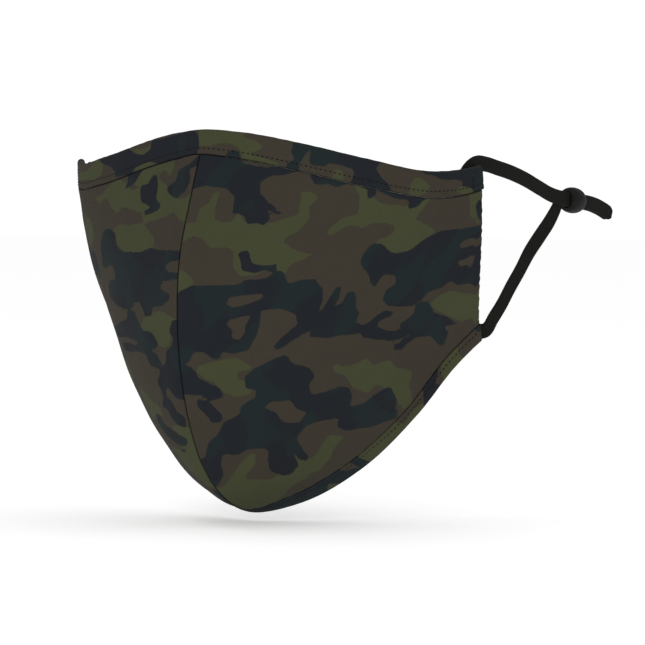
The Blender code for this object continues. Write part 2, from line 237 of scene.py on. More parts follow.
def gathers(along: np.ndarray, pitch: float) -> np.ndarray:
    """Small uneven gathers that a row of stitches draws in the cloth, from -1 to 1."""
    turns = 2 * math.pi * along / pitch
    return 0.6 * np.sin(turns + 1.3 * np.sin(turns / 4.3)) + 0.4 * np.sin(1.7 * turns + 0.9)


# ---------------------------------------------------------------------------------------------
# The cut of the mask
# ---------------------------------------------------------------------------------------------


@dataclass(frozen=True)
class MaskCut:
    """The outlines of the wearer's left half, from the middle (x = 0) to the side edge."""

    centre_seam: tuple[Point, ...] = (
        (0.0, -22.0, -73.5),
        (0.0, -46.5, -65.3),
        (0.0, -60.5, -54.0),
        (0.0, -71.5, -37.0),
        (0.0, -79.5, -6.0),
        (0.0, -78.0, 18.5),
        (0.0, -68.5, 41.0),
        (0.0, -61.5, 55.3),
    )
    top_seam: tuple[Point, ...] = (
        (0.0, -61.5, 55.3),
        (12.0, -56.0, 53.7),
        (33.5, -47.0, 48.9),
        (53.5, -34.2, 43.5),
        (72.0, -15.5, 39.8),
        (82.3, 3.0, 42.9),
    )
    top_edge: tuple[Point, ...] = (
        (0.0, -57.4, 64.5),
        (12.3, -54.4, 63.3),
        (33.0, -46.6, 59.1),
        (53.0, -34.5, 53.7),
        (70.5, -17.0, 49.4),
        (82.3, 1.3, 51.6),
    )
    bottom_seam: tuple[Point, ...] = (
        (0.0, -22.0, -73.5),
        (14.5, -18.5, -68.9),
        (33.0, -8.5, -57.3),
        (51.0, 1.0, -39.2),
        (66.8, 11.5, -15.9),
        (75.6, 16.9, -6.1),
    )
    bottom_edge: tuple[Point, ...] = (
        (0.0, -15.0, -75.5),
        (17.0, -8.0, -71.5),
        (36.3, 0.6, -59.3),
        (55.6, 7.2, -39.2),
        (67.6, 13.8, -21.9),
        (74.8, 20.7, -13.0),
    )
    side_edge: tuple[Point, ...] = (
        (75.6, 16.9, -6.1),
        (79.6, 6.8, 17.3),
        (82.3, 3.0, 42.9),
    )
    ease: float = -3.6
    ease_skew: float = 1.6
    normal_cells: int = 14
    lift_at: tuple[float, ...] = (0.35, 0.9, 1.0)
    seam_lift: tuple[float, ...] = (0.0, 0.0, 0.0)
    rim_lift: tuple[float, ...] = (0.0, 0.0, 0.0)

    def panel(self, across: np.ndarray, up: np.ndarray) -> np.ndarray:
        """The panel between its seams, as a grid of points.

        Args:
            across: shares of the way from the centre seam to the side edge.
            up: shares of the way from the bottom seam to the top seam.

        Returns:
            Points by column, then by row.
        """
        flat = self._patch(across, up)
        even = np.linspace(0.0, 1.0, 4 * self.normal_cells + 1)
        normals = between(grid_normals(self._patch(even, even)), across, up)
        u = across[:, None, None]
        v = up[None, :, None]
        ease = self.ease * np.sin(math.pi * u**self.ease_skew) * np.sin(math.pi * v)
        points = flat + ease * unit(normals)
        points[..., 2] += self._lift(self.seam_lift, across)[:, None] * up[None, :] ** 2
        return points

    def _lift(self, lift: tuple[float, ...], across: np.ndarray) -> np.ndarray:
        """How much higher this side was sewn than its pattern, at each share of its width."""
        places = np.array(self.lift_at)
        share = np.clip((across[:, None] - places[:-1]) / np.diff(places), 0.0, 1.0)
        return (np.diff(lift) * share**2 * (3 - 2 * share)).sum(axis=1)

    def _patch(self, across: np.ndarray, up: np.ndarray) -> np.ndarray:
        """The surface stretched straight between the four outlines."""
        seam = spaced(smooth_curve(self.centre_seam), up)
        side = spaced(smooth_curve(self.side_edge), up)
        bottom = spaced(half_curve(self.bottom_seam), across)
        top = spaced(half_curve(self.top_seam), across)
        u = across[:, None, None]
        v = up[None, :, None]
        ruled = (1 - u) * seam[None] + u * side[None]
        lofted = (1 - v) * bottom[:, None] + v * top[:, None]
        low_ends = spaced(half_curve(self.bottom_seam), np.array([0.0, 1.0]))
        high_ends = spaced(half_curve(self.top_seam), np.array([0.0, 1.0]))
        low = (1 - u) * low_ends[0] + u * low_ends[1]
        high = (1 - u) * high_ends[0] + u * high_ends[1]
        return ruled + lofted - (1 - v) * low - v * high

    def rims(self, across: np.ndarray) -> tuple[np.ndarray, np.ndarray]:
        """Points of the bottom edge and of the top edge at these shares of their length."""
        low = spaced(half_curve(self.bottom_edge), across)
        high = spaced(half_curve(self.top_edge), across)
        high[:, 2] += self._lift(self.rim_lift, across)
        return low, high

    def facing(self, across: np.ndarray, up: np.ndarray) -> tuple[np.ndarray, np.ndarray]:
        """Outward directions of the panel, and those of the bottom and top rims.

        Args:
            across: shares of the way from the centre seam to the side edge.
            up: shares of the way from the bottom seam to the top seam.

        Returns:
            The panel's directions by column and row, and the rims' by column, bottom then top.
        """
        even = np.linspace(0.0, 1.0, self.normal_cells + 1)
        low, high = self.rims(even)
        grid = np.concatenate([low[:, None], self.panel(even, even), high[:, None]], axis=1)
        normals = grid_normals(grid)
        panel = unit(between(normals[:, 1:-1], across, up))
        rims = unit(between(normals[:, [0, -1]], across, np.array([0.0, 1.0])))
        return panel, rims


CUTS = {
    Side.LEFT: MaskCut(),
    Side.RIGHT: MaskCut(seam_lift=(0.0, 3.6, 3.6), rim_lift=(0.0, 3.8, 3.0)),
}


# ---------------------------------------------------------------------------------------------
# Mesh making
# ---------------------------------------------------------------------------------------------


def new_object(name: str, mesh: bpy.types.Mesh, material: bpy.types.Material) -> bpy.types.Object:
    """An object of the mesh in the scene, smooth-shaded unless the mesh has sharp edges."""
    mesh.materials.append(material)
    if "sharp_edge" not in mesh.attributes:
        mesh.shade_smooth()
    made = bpy.data.objects.new(name, mesh)
    bpy.context.scene.collection.objects.link(made)
    return made


def grid_mesh(name: str, grid: np.ndarray, flip: bool) -> bpy.types.Mesh:
    """A one-sided mesh of a grid of points, one face for each cell."""
    columns, rows = grid.shape[:2]
    first = np.arange(columns * rows).reshape(columns, rows)
    corners = [first[:-1, :-1], first[1:, :-1], first[1:, 1:], first[:-1, 1:]]
    faces = np.stack([corner.ravel() for corner in corners], axis=1)
    mesh = bpy.data.meshes.new(name)
    faces = faces[:, ::-1] if flip else faces
    mesh.from_pydata((grid.reshape(-1, 3) * MM).tolist(), [], faces.tolist())
    mesh.update()
    return mesh


def set_attribute(mesh: bpy.types.Mesh, name: str, values: np.ndarray) -> None:
    """Stores one number for each point of the mesh."""
    made = mesh.attributes.new(name, "FLOAT", "POINT")
    made.data.foreach_set("value", np.asarray(values, np.float32).ravel())


def set_cloth_uv(mesh: bpy.types.Mesh, along: np.ndarray, height: np.ndarray) -> None:
    """Stores the place on the flat cloth, in hundreds of millimetres, as the mesh's UV map."""
    layer = mesh.uv_layers.new(name=CLOTH_UV)
    flat = np.stack([along.ravel(), height.ravel()], axis=1) / CLOTH_UV_UNIT
    corners = np.empty(len(mesh.loops), np.int32)
    mesh.loops.foreach_get("vertex_index", corners)
    layer.data.foreach_set("uv", flat[corners].astype(np.float32).ravel())


def thicken(piece: bpy.types.Object, thickness: float) -> None:
    """Gives a sheet its thickness, on its inner side."""
    solid = piece.modifiers.new("cloth_thickness", "SOLIDIFY")
    solid.thickness = thickness * MM
    solid.offset = -1.0
    solid.use_quality_normals = True


def tube_rings(
    centres: np.ndarray, first: np.ndarray, second: np.ndarray, outline: np.ndarray
) -> np.ndarray:
    """Rings of a tube whose section is given in two directions at each station.

    Args:
        centres: the stations.
        first: the direction of the section's first axis at each station.
        second: the direction of its second axis.
        outline: the section's points, in the two axes.

    Returns:
        Points by station, then round the ring.
    """
    wide = outline[None, :, 0, None] * first[:, None]
    deep = outline[None, :, 1, None] * second[:, None]
    return centres[:, None] + wide + deep


def ring_faces(stations: int, size: int, start: int = 0) -> list[list[int]]:
    """Faces of a closed tube, with a cap at each end, numbered from start."""
    faces = []
    for i in range(stations - 1):
        low = start + i * size
        for k in range(size):
            following = (k + 1) % size
            faces.append([low + k, low + following, low + size + following, low + size + k])
    faces.append([start + k for k in range(size)][::-1])
    faces.append([start + (stations - 1) * size + k for k in range(size)])
    return faces


def points_mesh(name: str, points: np.ndarray, faces: list[list[int]]) -> bpy.types.Mesh:
    """A mesh of millimetre points and faces, with its faces turned outwards."""
    mesh = bpy.data.meshes.new(name)
    mesh.from_pydata((points.reshape(-1, 3) * MM).tolist(), [], faces)
    work = bmesh.new()
    work.from_mesh(mesh)
    bmesh.ops.recalc_face_normals(work, faces=work.faces)
    work.to_mesh(mesh)
    work.free()
    return mesh


def mirrored(points: np.ndarray, side: Side) -> np.ndarray:
    """Points as they are for the left side, or mirrored in x for the right."""
    return np.asarray(points, float) * (side.sign, 1, 1)


def placed(piece: bpy.types.Object, body: str, slot: str, *nodes: str) -> bpy.types.Object:
    """Puts a piece on the body that it rides on, and hides the nodes that it stands for."""
    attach(piece, body)
    if nodes:
        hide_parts(*nodes)
    LOG.info("%s rides on %s", piece.name, body)
    return piece


# ---------------------------------------------------------------------------------------------
# The print
# ---------------------------------------------------------------------------------------------


def rounded_outline(outline: Outline, cut: float = 0.1, rounds: int = 2) -> np.ndarray:
    """A closed outline with its corners cut again and again, so that it runs smoothly."""
    line = np.asarray(outline, float)
    for _ in range(rounds):
        following = np.roll(line, -1, axis=0)
        pair = [(1 - cut) * line + cut * following, cut * line + (1 - cut) * following]
        line = np.stack(pair, axis=1).reshape(-1, 2)
    return line


def signed_distance(places: np.ndarray, outline: np.ndarray) -> np.ndarray:
    """How far each place is from a closed outline, negative inside it."""
    nearest = np.full(len(places), 1e9)
    inside = np.zeros(len(places), bool)
    for start, end in zip(outline, np.roll(outline, -1, axis=0)):
        run = end - start
        offset = places - start
        share = np.clip(offset @ run / max(run @ run, 1e-12), 0.0, 1.0)
        nearest = np.minimum(nearest, np.linalg.norm(offset - share[:, None] * run, axis=1))
        crosses = (start[1] > places[:, 1]) != (end[1] > places[:, 1])
        rise = run[1] if abs(run[1]) > 1e-12 else 1e-12
        inside ^= crosses & (places[:, 0] < start[0] + (places[:, 1] - start[1]) * run[0] / rise)
    return np.where(inside, -nearest, nearest)


@dataclass(frozen=True)
class Print:
    """The blots of one piece of printed cloth, as outlines of (distance across, height).

    Distances run from the middle of the mask towards the side edge. Heights are those of the worn
    mask on a panel, and from the seam line outwards on a band.
    """

    olive: tuple[Outline, ...] = ()
    dark: tuple[Outline, ...] = ()
    ground: tuple[Outline, ...] = ()

    def mark(self, mesh: bpy.types.Mesh, along: np.ndarray, height: np.ndarray) -> None:
        """Stores each ink's distance field in the mesh.

        Args:
            mesh: the printed cloth.
            along: distance across the cloth, for each point.
            height: height on the cloth, for each point.
        """
        places = np.stack([along.ravel(), height.ravel()], axis=1)
        layers = {Ink.OLIVE: self.olive, Ink.DARK: self.dark, Ink.GROUND: self.ground}
        for ink, outlines in layers.items():
            field_of_ink = np.full(len(places), 50.0)
            for outline in outlines:
                reached = signed_distance(places, rounded_outline(outline))
                field_of_ink = np.minimum(field_of_ink, reached)
            set_attribute(mesh, ink.value, field_of_ink)


LEFT_PANEL_PRINT = Print(
    olive=(
        (
            (-2, 31), (4, 31), (4, 36), (7, 38), (8, 42), (10, 42), (9.5, 37), (10, 32), (16, 31),
            (18, 35), (21, 31), (30, 31), (36, 33), (39, 34), (38.5, 38), (38, 42), (42, 42),
            (44.5, 39.5), (42, 37), (43, 32), (40, 28), (36, 25.5), (36.5, 24), (40, 22),
            (44, 20.5), (48, 20), (44, 18), (40, 16.5), (38.5, 13.5), (37, 12.5), (34, 16),
            (28, 13), (22, 12.5), (19.5, 15.5), (19, 21), (16.5, 22.5), (10, 22.5), (7, 26),
            (3, 26.5), (-2, 22),
        ),
        ((-2, 16), (3, 14), (6, 10.5), (4, 8), (-2, 7)),
        (
            (51, 27), (53, 27), (57, 30), (61, 30), (63, 29), (66, 31), (71, 31), (75, 30),
            (76, 28), (74, 26), (71, 25), (71, 23), (75, 23), (77, 20), (84, 20.5), (88, 22),
            (94, 28), (86, 31), (82, 32), (84, 37), (86, 41), (81, 40), (78, 37), (74, 37),
            (67, 38), (62, 41), (61, 45), (57, 46), (56, 44), (59, 40), (60, 34), (55, 33),
            (51, 29),
        ),
        ((99, 44), (103, 40), (107, 34), (112, 31.5), (116, 31), (112, 35), (109, 39), (112, 44)),
        (
            (100, 1.5), (103, 4), (107, 5.5), (111, 6.5), (117, 5), (123, 7), (119, 1),
            (115, -3), (110, -5), (108, -3), (104, -1),
        ),
        (
            (4.5, -20), (9, -18), (14, -17), (20, -16), (27, -20), (20, -21), (20, -24),
            (24, -24), (24, -29), (18, -30), (14, -28), (12, -25), (8, -23), (6, -21),
        ),
        (
            (56, -22), (57, -18.5), (60, -20), (66, -19), (70, -17), (72, -20), (79, -18),
            (80, -21), (84.5, -22.5), (80, -27), (74, -34), (69, -39), (74, -29), (70, -27),
            (66, -30), (62, -28), (60, -23),
        ),
        (
            (-2, -64), (3, -63), (8, -59), (13, -54), (17, -51), (19.5, -50), (17, -55),
            (13, -58), (11, -60), (18, -61), (22, -59), (27, -57), (31, -52), (34, -54),
            (38, -52), (42, -48), (46, -45), (49.5, -46), (44, -50), (40, -54), (34, -58),
            (28, -61), (22, -64), (14, -69), (6, -73), (-2, -76),
        ),
    ),
    dark=(
        (
            (-3, 58), (12, 56), (16, 52), (24, 50.5), (33, 52), (37, 49.5), (31, 48),
            (26, 47.5), (23, 45), (24, 41.5), (28, 38), (34.5, 33), (29.5, 34.5), (26.5, 37.5),
            (29.5, 32.5), (27.5, 30), (25.5, 31), (22, 30.5), (20, 33.5), (17.5, 34.5),
            (15.8, 34), (15.5, 40), (12, 43), (5, 44), (-3, 42.5),
        ),
        (
            (39, 54), (40, 47.5), (42, 44.5), (47, 44.8), (50, 43.5), (54, 45), (58, 44),
            (61, 42.5), (62, 38.7), (64.5, 41), (64, 43), (70, 40), (77, 39), (78, 35.8),
            (81, 36.5), (82.5, 39), (86, 40.5), (86, 46), (60, 52),
        ),
        (
            (20, 21), (24, 21.7), (26, 17), (30, 16), (35, 16.8), (35.5, 13), (31, 14.7),
            (27, 13.5), (22.5, 14.5), (22, 18),
        ),
        (
            (-3, 2), (1, 7.5), (5, 9.3), (22, 9.5), (24, 11.2), (32, 11.7), (35, 14.7),
            (38, 13.5), (40, 9.6), (45, 11.2), (50, 11.3), (53, 8), (53.5, 4), (52, 0.5),
            (54, -2), (51, -5.5), (44, -9), (36, -13.7), (33.5, -13), (38, -9), (44, -4.5),
            (43, -1), (38, 1), (30, 0.5), (30, -4), (28, -9), (25, -13.7), (20, -14.7),
            (15.5, -14), (14.5, -17.2), (11.5, -16), (9, -14), (5, -13.5), (4, -17), (-3, -18),
        ),
        (
            (52, -1), (56, 4.5), (58, 8.2), (60.4, 8.6), (60, 4.5), (57.5, 1.5), (61, 2.5),
            (63, 6.5), (65.7, 6.9), (67.2, 4.5), (67, 1.5), (68.7, -1), (67, -4), (70.5, -5.5),
            (75, -3), (79, -0.3), (83.5, -0.6), (82.2, -2.5), (77, -4), (76, -6), (81, -7.7),
            (87, -7.2), (92, -6), (98, -6.5), (99, -8), (90, -9), (84, -11.2), (76, -10.7),
            (70, -9.7), (69, -8.2), (62, -8.7), (55, -9.7), (48, -9), (50, -5),
        ),
        (
            (66.6, 20), (69, 23.5), (73, 23.7), (77, 21), (80, 20), (86, 21), (91, 25.5),
            (96, 28), (103, 28.7), (111, 29), (117, 31), (125, 28), (125, 9), (117, 9),
            (113, 8.3), (110, 10), (105, 7.5), (99, 6), (96.5, 3.5), (92, 1.2), (86, 1),
            (81, 1.3), (78.3, 3.5), (79.5, 7), (83.3, 9.5), (82.7, 12), (78, 12.7),
            (75.5, 10.5), (74.7, 7.9), (72.5, 9.5), (70.5, 13.5), (68, 15), (66.6, 17.5),
        ),
        (
            (85.7, -5.7), (90, -3.5), (93, -1), (93.5, 2.1), (99, 2.9), (101.2, 0.5),
            (102, -1.5), (107, -3), (109.5, -6), (104, -6.5), (104, -9), (100, -12.5),
            (98, -14.7), (98, -10), (96, -7.5), (91, -7.5), (87, -7),
        ),
        (
            (81.7, -11.8), (82, -14.7), (85, -14.5), (88, -12.5), (92, -10.5), (99, -10),
            (99, -8.3), (93, -8.5), (87, -10.5), (84, -12.5),
        ),
        ((107, 39), (111, 40), (114, 36), (119, 32.5), (116, 31.5), (112, 34), (109, 36.5)),
        (
            (-3, -17), (2, -18), (5, -20), (6, -23), (10, -25), (13.5, -27), (14, -30.3),
            (9, -31), (6, -29), (2, -29), (-3, -28),
        ),
        (
            (4, -30.7), (8, -31), (9.5, -33), (12.2, -36), (12, -38.8), (8, -39.2), (6.5, -36),
            (4, -33),
        ),
        (
            (22.3, -23), (26, -20.5), (32, -17.5), (39, -15.3), (41, -18.5), (47, -20),
            (48.7, -23), (45.5, -26.5), (46, -30), (51, -29.3), (57, -27), (60.7, -28),
            (60, -31.5), (57.5, -35), (63, -33.5), (68, -30.5), (74.3, -27.7), (73, -32),
            (66, -40), (58, -43), (51, -44), (50, -42), (52, -39), (46, -39.5), (40, -41.5),
            (35, -45.5), (34.7, -53), (32.5, -55.3), (31, -51), (30, -56), (24, -60),
            (20.3, -57.7), (22, -53), (24, -49), (17, -48.8), (13, -51), (9.8, -50.7),
            (8.5, -50.5), (6.5, -54), (5.5, -58.5), (1, -63), (-3, -64), (-3, -53), (2, -52),
            (4.5, -47), (10, -42), (12, -39), (18, -36.5), (20, -33), (25, -30.5), (26, -27.5),
            (22.3, -27),
        ),
    ),
    ground=(
        ((17.5, 3), (19, 5.2), (24, 5.9), (30, 6.4), (31.5, 5), (27, 3.5), (23, 1.9), (19, 1.8)),
        (
            (18, -3), (22, -2), (26.5, -1.3), (24.3, -5), (24.3, -7), (22, -10), (19, -9),
            (20, -6), (17.6, -5),
        ),
        ((109, 23.3), (112, 25), (118, 26), (125, 27), (125, 24.5), (116, 22.8), (111, 21.7)),
        ((110.5, 17), (115, 18), (119.5, 20.5), (120.5, 17), (119.5, 13), (117, 15.7), (113, 15.2)),
        (
            (27.5, -34), (30, -32.2), (37.5, -31.7), (39, -35), (42.5, -36.2), (38.5, -40),
            (33, -40), (31.3, -36),
        ),
    ),
)

RIGHT_PANEL_PRINT = Print(
    olive=(
        (
            (14, 53), (17, 54), (30, 52), (37, 45), (33, 43.7), (27, 48), (22, 48.5), (18, 50),
            (16, 47.5), (13.5, 50),
        ),
        (
            (-2, 45), (1, 40), (7, 39.3), (12, 41), (16, 44), (20, 46), (23, 48), (31, 47),
            (33, 43), (38, 42.5), (42, 45), (49, 47.5), (55, 44), (62, 41), (69, 39.5),
            (64, 38), (57, 40), (53, 36), (48, 34), (45, 36.5), (38, 36), (30, 34.5), (28, 31),
            (20, 32), (13, 33.5), (8, 35), (3, 32), (-2, 31),
        ),
        (
            (20, 21), (19, 25), (24, 28.5), (29, 31), (38, 30), (45, 30.5), (53, 28),
            (50, 23.5), (43, 21), (35, 19.5), (27, 20),
        ),
        (
            (-2, -3), (5, -1), (10, 0), (16, 0), (19, -1), (26, -3), (31, -7), (24, -8),
            (17, -8.5), (15, -12), (10, -12.7), (5, -11.5), (4, -8), (2, -7.5),
        ),
        ((20, -38), (24, -34), (32, -33), (38, -31), (52, -28), (47, -34), (38, -41), (30, -37)),
        (
            (-2, -41), (6, -40), (14, -41), (14, -44), (4, -44), (10, -49), (16, -50),
            (23, -49), (14, -57), (4, -63), (-2, -64),
        ),
        ((78, 30), (86, 33), (95, 32), (101, 27), (97, 22), (88, 23), (80, 25)),
        ((92, 2), (100, 6), (109, 5), (113, 0), (106, -4), (98, -3)),
        ((60, -22), (68, -19), (77, -20), (84, -25), (74, -30), (64, -28)),
    ),
    dark=(
        (
            (-2, 57), (4, 51.5), (10, 50), (11, 46), (16.7, 43.5), (14, 41), (8, 39.5),
            (3, 42), (1.4, 46), (3, 50), (-2, 52),
        ),
        ((30, 52), (36, 45), (43, 42.7), (40.5, 46), (41, 48.3), (50, 48.7), (60, 48.5), (46, 52)),
        (
            (18, 37), (20, 35.3), (26, 33.7), (29, 34.3), (27, 35.5), (24, 36.5), (31, 38.5),
            (32.5, 44), (27, 45), (26, 47.7), (23, 48), (21.6, 45), (22, 40),
        ),
        (
            (-2, 21.5), (14, 21.5), (22, 22.3), (28, 20.5), (44, 20.5), (49, 22.5), (50, 27),
            (56, 28.7), (62, 28.3), (66, 26), (71, 22), (73, 14.3), (67, 14.3), (58, 15.5),
            (54, 13.5), (55, 10.3), (63, 9.8), (70, 8), (72, 3.3), (60, 1), (46, -0.3),
            (37, 0.5), (35, 2.7), (30, 3), (27, 1), (24, -2), (19, -1.7), (18, 1.5), (10, 2),
            (5, 4), (3, 6), (12, 8), (10, 10.5), (4, 11.2), (-2, 12),
        ),
        (
            (-2, -2), (3, -3), (5, -7), (2, -9), (4, -12), (8, -14), (9, -18), (14, -19.5),
            (18, -24), (21, -25.5), (18, -27), (16, -31), (19.5, -34), (14, -35), (12, -38),
            (8, -40), (2, -41), (1, -37), (6, -35), (8, -32), (13, -30), (12, -27), (9, -27),
            (6, -29.5), (3, -30.8), (-2, -31),
        ),
        (
            (15, -11), (20, -7.3), (27, -7.3), (31, -5), (35, -0.5), (44, -0.3), (46, -3.5),
            (56, -5), (70, -7), (88, -8), (90, -11), (64, -11), (50, -10.5), (36, -11.5),
            (38, -13), (52, -12.5), (64, -13), (60, -15.7), (50, -16), (38, -15), (28, -15.5),
            (24, -19.5), (16, -20.7), (13, -18.5), (17, -15), (22, -14), (15, -12.5),
        ),
        (
            (31, -38), (26, -37.7), (22, -41), (12, -43), (2.5, -45.3), (6, -48), (14, -47.7),
            (24, -45), (31, -42),
        ),
        ((6, -49), (12, -49.5), (15, -49), (10, -51)),
        ((-2, -65), (3, -64), (3, -70), (-2, -74)),
        (
            (84, 19), (92, 21), (101, 19), (112, 22), (122, 20), (124, 12), (113, 10),
            (102, 12), (93, 9), (85, 12),
        ),
        ((96, 43), (104, 40), (109, 34), (103, 33), (94, 37)),
        ((74, -14), (83, -15), (91, -19), (84, -22), (77, -20)),
    ),
    ground=(((-2, 18.5), (6, 17.3), (8.3, 15.5), (5, 13.8), (-2, 14)),),
)

TOP_BAND_PRINT = Print(
    olive=(
        (
            (-3, 14), (-2, 8), (-1, 4), (0, 3.2), (3, 3.4), (6, 4.8), (10, 5.3), (13, 4.6),
            (15, 2), (15, -2), (31, -2), (29, 1.2), (24, 2), (18, 2.3), (18, 3.2), (21, 4.5),
            (22.2, 6.3), (19, 7.7), (15, 8), (14, 14),
        ),
        ((47.6, -2), (48, 3), (50, 4.7), (52, 3), (51.5, -2)),
        ((64, 2.4), (67, 1.6), (68.5, -2), (65, -2)),
        ((75.7, -2), (77, 3), (79, 6.7), (82, 7.2), (85.3, 4.5), (84, 2), (81, 0.5), (80.5, -2)),
        ((95.7, 2.6), (99, 3.8), (102, 3.3), (104, 1.8), (104, -2), (99, -2), (98.5, 1.2)),
        ((-37, 1), (-36, 2), (-33, 2.4), (-28, 2.1), (-24, 0.6), (-30, 0.5)),
        (
            (-96, 3), (-88, 6.7), (-78, 7), (-72, 8.2), (-66, 10.5), (-59.5, 7.3), (-61, 3.8),
            (-68, 2.8), (-78, 3.8), (-88, 3.8),
        ),
        ((-40.5, 9.5), (-36, 7.2), (-32, 5.6), (-28, 6.3), (-26.5, 8.5), (-30, 7.5), (-34, 8.2)),
    ),
    dark=(
        ((8.8, -2), (9.7, 2), (12, 3.5), (14.2, 2.2), (15.3, -2)),
        (
            (33, 14), (33, 8.5), (32.3, 6.5), (34, 4), (31, 2), (30.5, -2), (36, -2),
            (35.4, 2.5), (37, 5), (38.7, 8.9), (39.5, 8), (39, 4.8), (40, 3.3), (45, 4.1),
            (46, 5.5), (50, 5.8), (55.5, 5.6), (56, 4), (54.5, 0.5), (54, -2), (71, -2),
            (69, 2.5), (66, 5), (64, 7.3), (66, 10), (69, 14),
        ),
        (
            (83, 14), (83, 9), (88, 8.2), (90, 6.8), (97, 6.3), (99.7, 5), (99, 3.6), (102, 3),
            (104.2, 1.8), (104.5, -2), (114, -2), (114, 14),
        ),
        (
            (-1, 1), (-1.2, 5), (-2.7, 8.3), (-5, 9.7), (-10, 9.4), (-20, 8.8), (-26.5, 9.7),
            (-27.5, 6.3), (-32, 5.3), (-36, 6.8), (-40, 9.3), (-46, 14), (-67, 14), (-62, 8.7),
            (-58, 7.2), (-53, 5.4), (-50.2, 3.5), (-50.3, 1.3), (-44, 0.6), (-38, 0.3),
            (-37, 1.5), (-33, 2.3), (-27, 2), (-24, 0.5), (-10, -1), (-3, -2),
        ),
        ((-101, 14), (-100, 8), (-104, 5), (-109, 6), (-114, 4), (-114, 14)),
    ),
)

BOTTOM_BAND_PRINT = Print(
    olive=(
        (
            (45.3, -2), (45.3, 2), (48, 12), (78, 12), (77.5, 4.5), (72, 2.8), (68, 4.7),
            (65, 2.5), (63, -2),
        ),
        ((90, 6), (91, 12), (105, 12), (100, 4), (99, -2), (92, -2), (90, 2)),
        ((28.5, 12), (29.7, 6.5), (31, 5), (34, 8), (35, 12)),
        ((-14, 12), (-16, -2), (-34, -2), (-31, 5), (-36, 12)),
        ((-66, 12), (-64, 3), (-70, -2), (-88, -2), (-92, 5), (-88, 12)),
    ),
    dark=(
        (
            (-12, 14), (-9, 6), (-10, -2), (36, -2), (38, 3), (42, 5), (44.5, 8), (44, 14),
            (35, 12), (34.3, 8), (31, 4.8), (29.5, 6.5), (28.5, 14),
        ),
        ((41.8, -2), (42, 2), (44, 6), (44.5, 12), (50, 12), (46.7, 4), (45.5, 2), (45.5, -2)),
        ((79.3, -2), (79.3, 2), (78, 5), (79, 12), (89, 12), (88, 6), (85.7, 4), (88, 2), (91, -2)),
        ((108.7, -2), (109, 1.7), (113, 3.3), (114, -2)),
        ((-44, -2), (-48, 5), (-47, 12), (-62, 12), (-60, 4), (-56, -2)),
        ((-98, -2), (-99, 4), (-104, 12), (-109, 12), (-106, 4), (-104, -2)),
    ),
)


# ---------------------------------------------------------------------------------------------
# Node groups that several materials share
# ---------------------------------------------------------------------------------------------


class GroupMaker:
    """Makes a node group with named sockets and links its nodes."""

    def __init__(self, name: str, inputs: dict[str, tuple[str, object]], outputs: dict[str, str]):
        """Starts the group.

        Args:
            name: the group's name.
            inputs: socket kind and first value by input name.
            outputs: socket kind by output name.
        """
        self.tree = bpy.data.node_groups.new(name, "ShaderNodeTree")
        for title, (kind, value) in inputs.items():
            socket = self.tree.interface.new_socket(name=title, in_out="INPUT", socket_type=kind)
            if value is not None:
                socket.default_value = value
        for title, kind in outputs.items():
            self.tree.interface.new_socket(name=title, in_out="OUTPUT", socket_type=kind)
        self.into = self.tree.nodes.new("NodeGroupInput").outputs
        self.out = self.tree.nodes.new("NodeGroupOutput").inputs

    def link(self, source: bpy.types.NodeSocket, target: bpy.types.NodeSocket) -> None:
        """Links two sockets."""
        self.tree.links.new(source, target)

    def maths(self, operation: str, *values: object, clamp: bool = False) -> bpy.types.NodeSocket:
        """The result of a Math node on sockets or numbers."""
        node = self.tree.nodes.new("ShaderNodeMath")
        node.operation = operation
        node.use_clamp = clamp
        for socket, value in zip(node.inputs, values):
            if isinstance(value, bpy.types.NodeSocket):
                self.link(value, socket)
            else:
                socket.default_value = value
        return node.outputs[0]

    def mix(self, share: object, first: object, second: object) -> bpy.types.NodeSocket:
        """The blend of two colours, each a socket or a colour."""
        node = self.tree.nodes.new("ShaderNodeMix")
        node.data_type = "RGBA"
        for socket, value in zip((node.inputs[0], node.inputs[6], node.inputs[7]), (share, first, second)):
            if isinstance(value, bpy.types.NodeSocket):
                self.link(value, socket)
            else:
                socket.default_value = value
        return node.outputs[2]

    def noise(self, place: bpy.types.NodeSocket, scale: float, detail: float) -> bpy.types.NodeSocket:
        """Even noise from 0 to 1 at a place."""
        node = self.tree.nodes.new("ShaderNodeTexNoise")
        node.inputs["Scale"].default_value = scale
        node.inputs["Detail"].default_value = detail
        self.link(place, node.inputs["Vector"])
        return node.outputs["Fac"]

    def apart(self, vector: bpy.types.NodeSocket) -> tuple[bpy.types.NodeSocket, ...]:
        """The X, Y and Z of a vector."""
        node = self.tree.nodes.new("ShaderNodeSeparateXYZ")
        self.link(vector, node.inputs[0])
        return tuple(node.outputs)


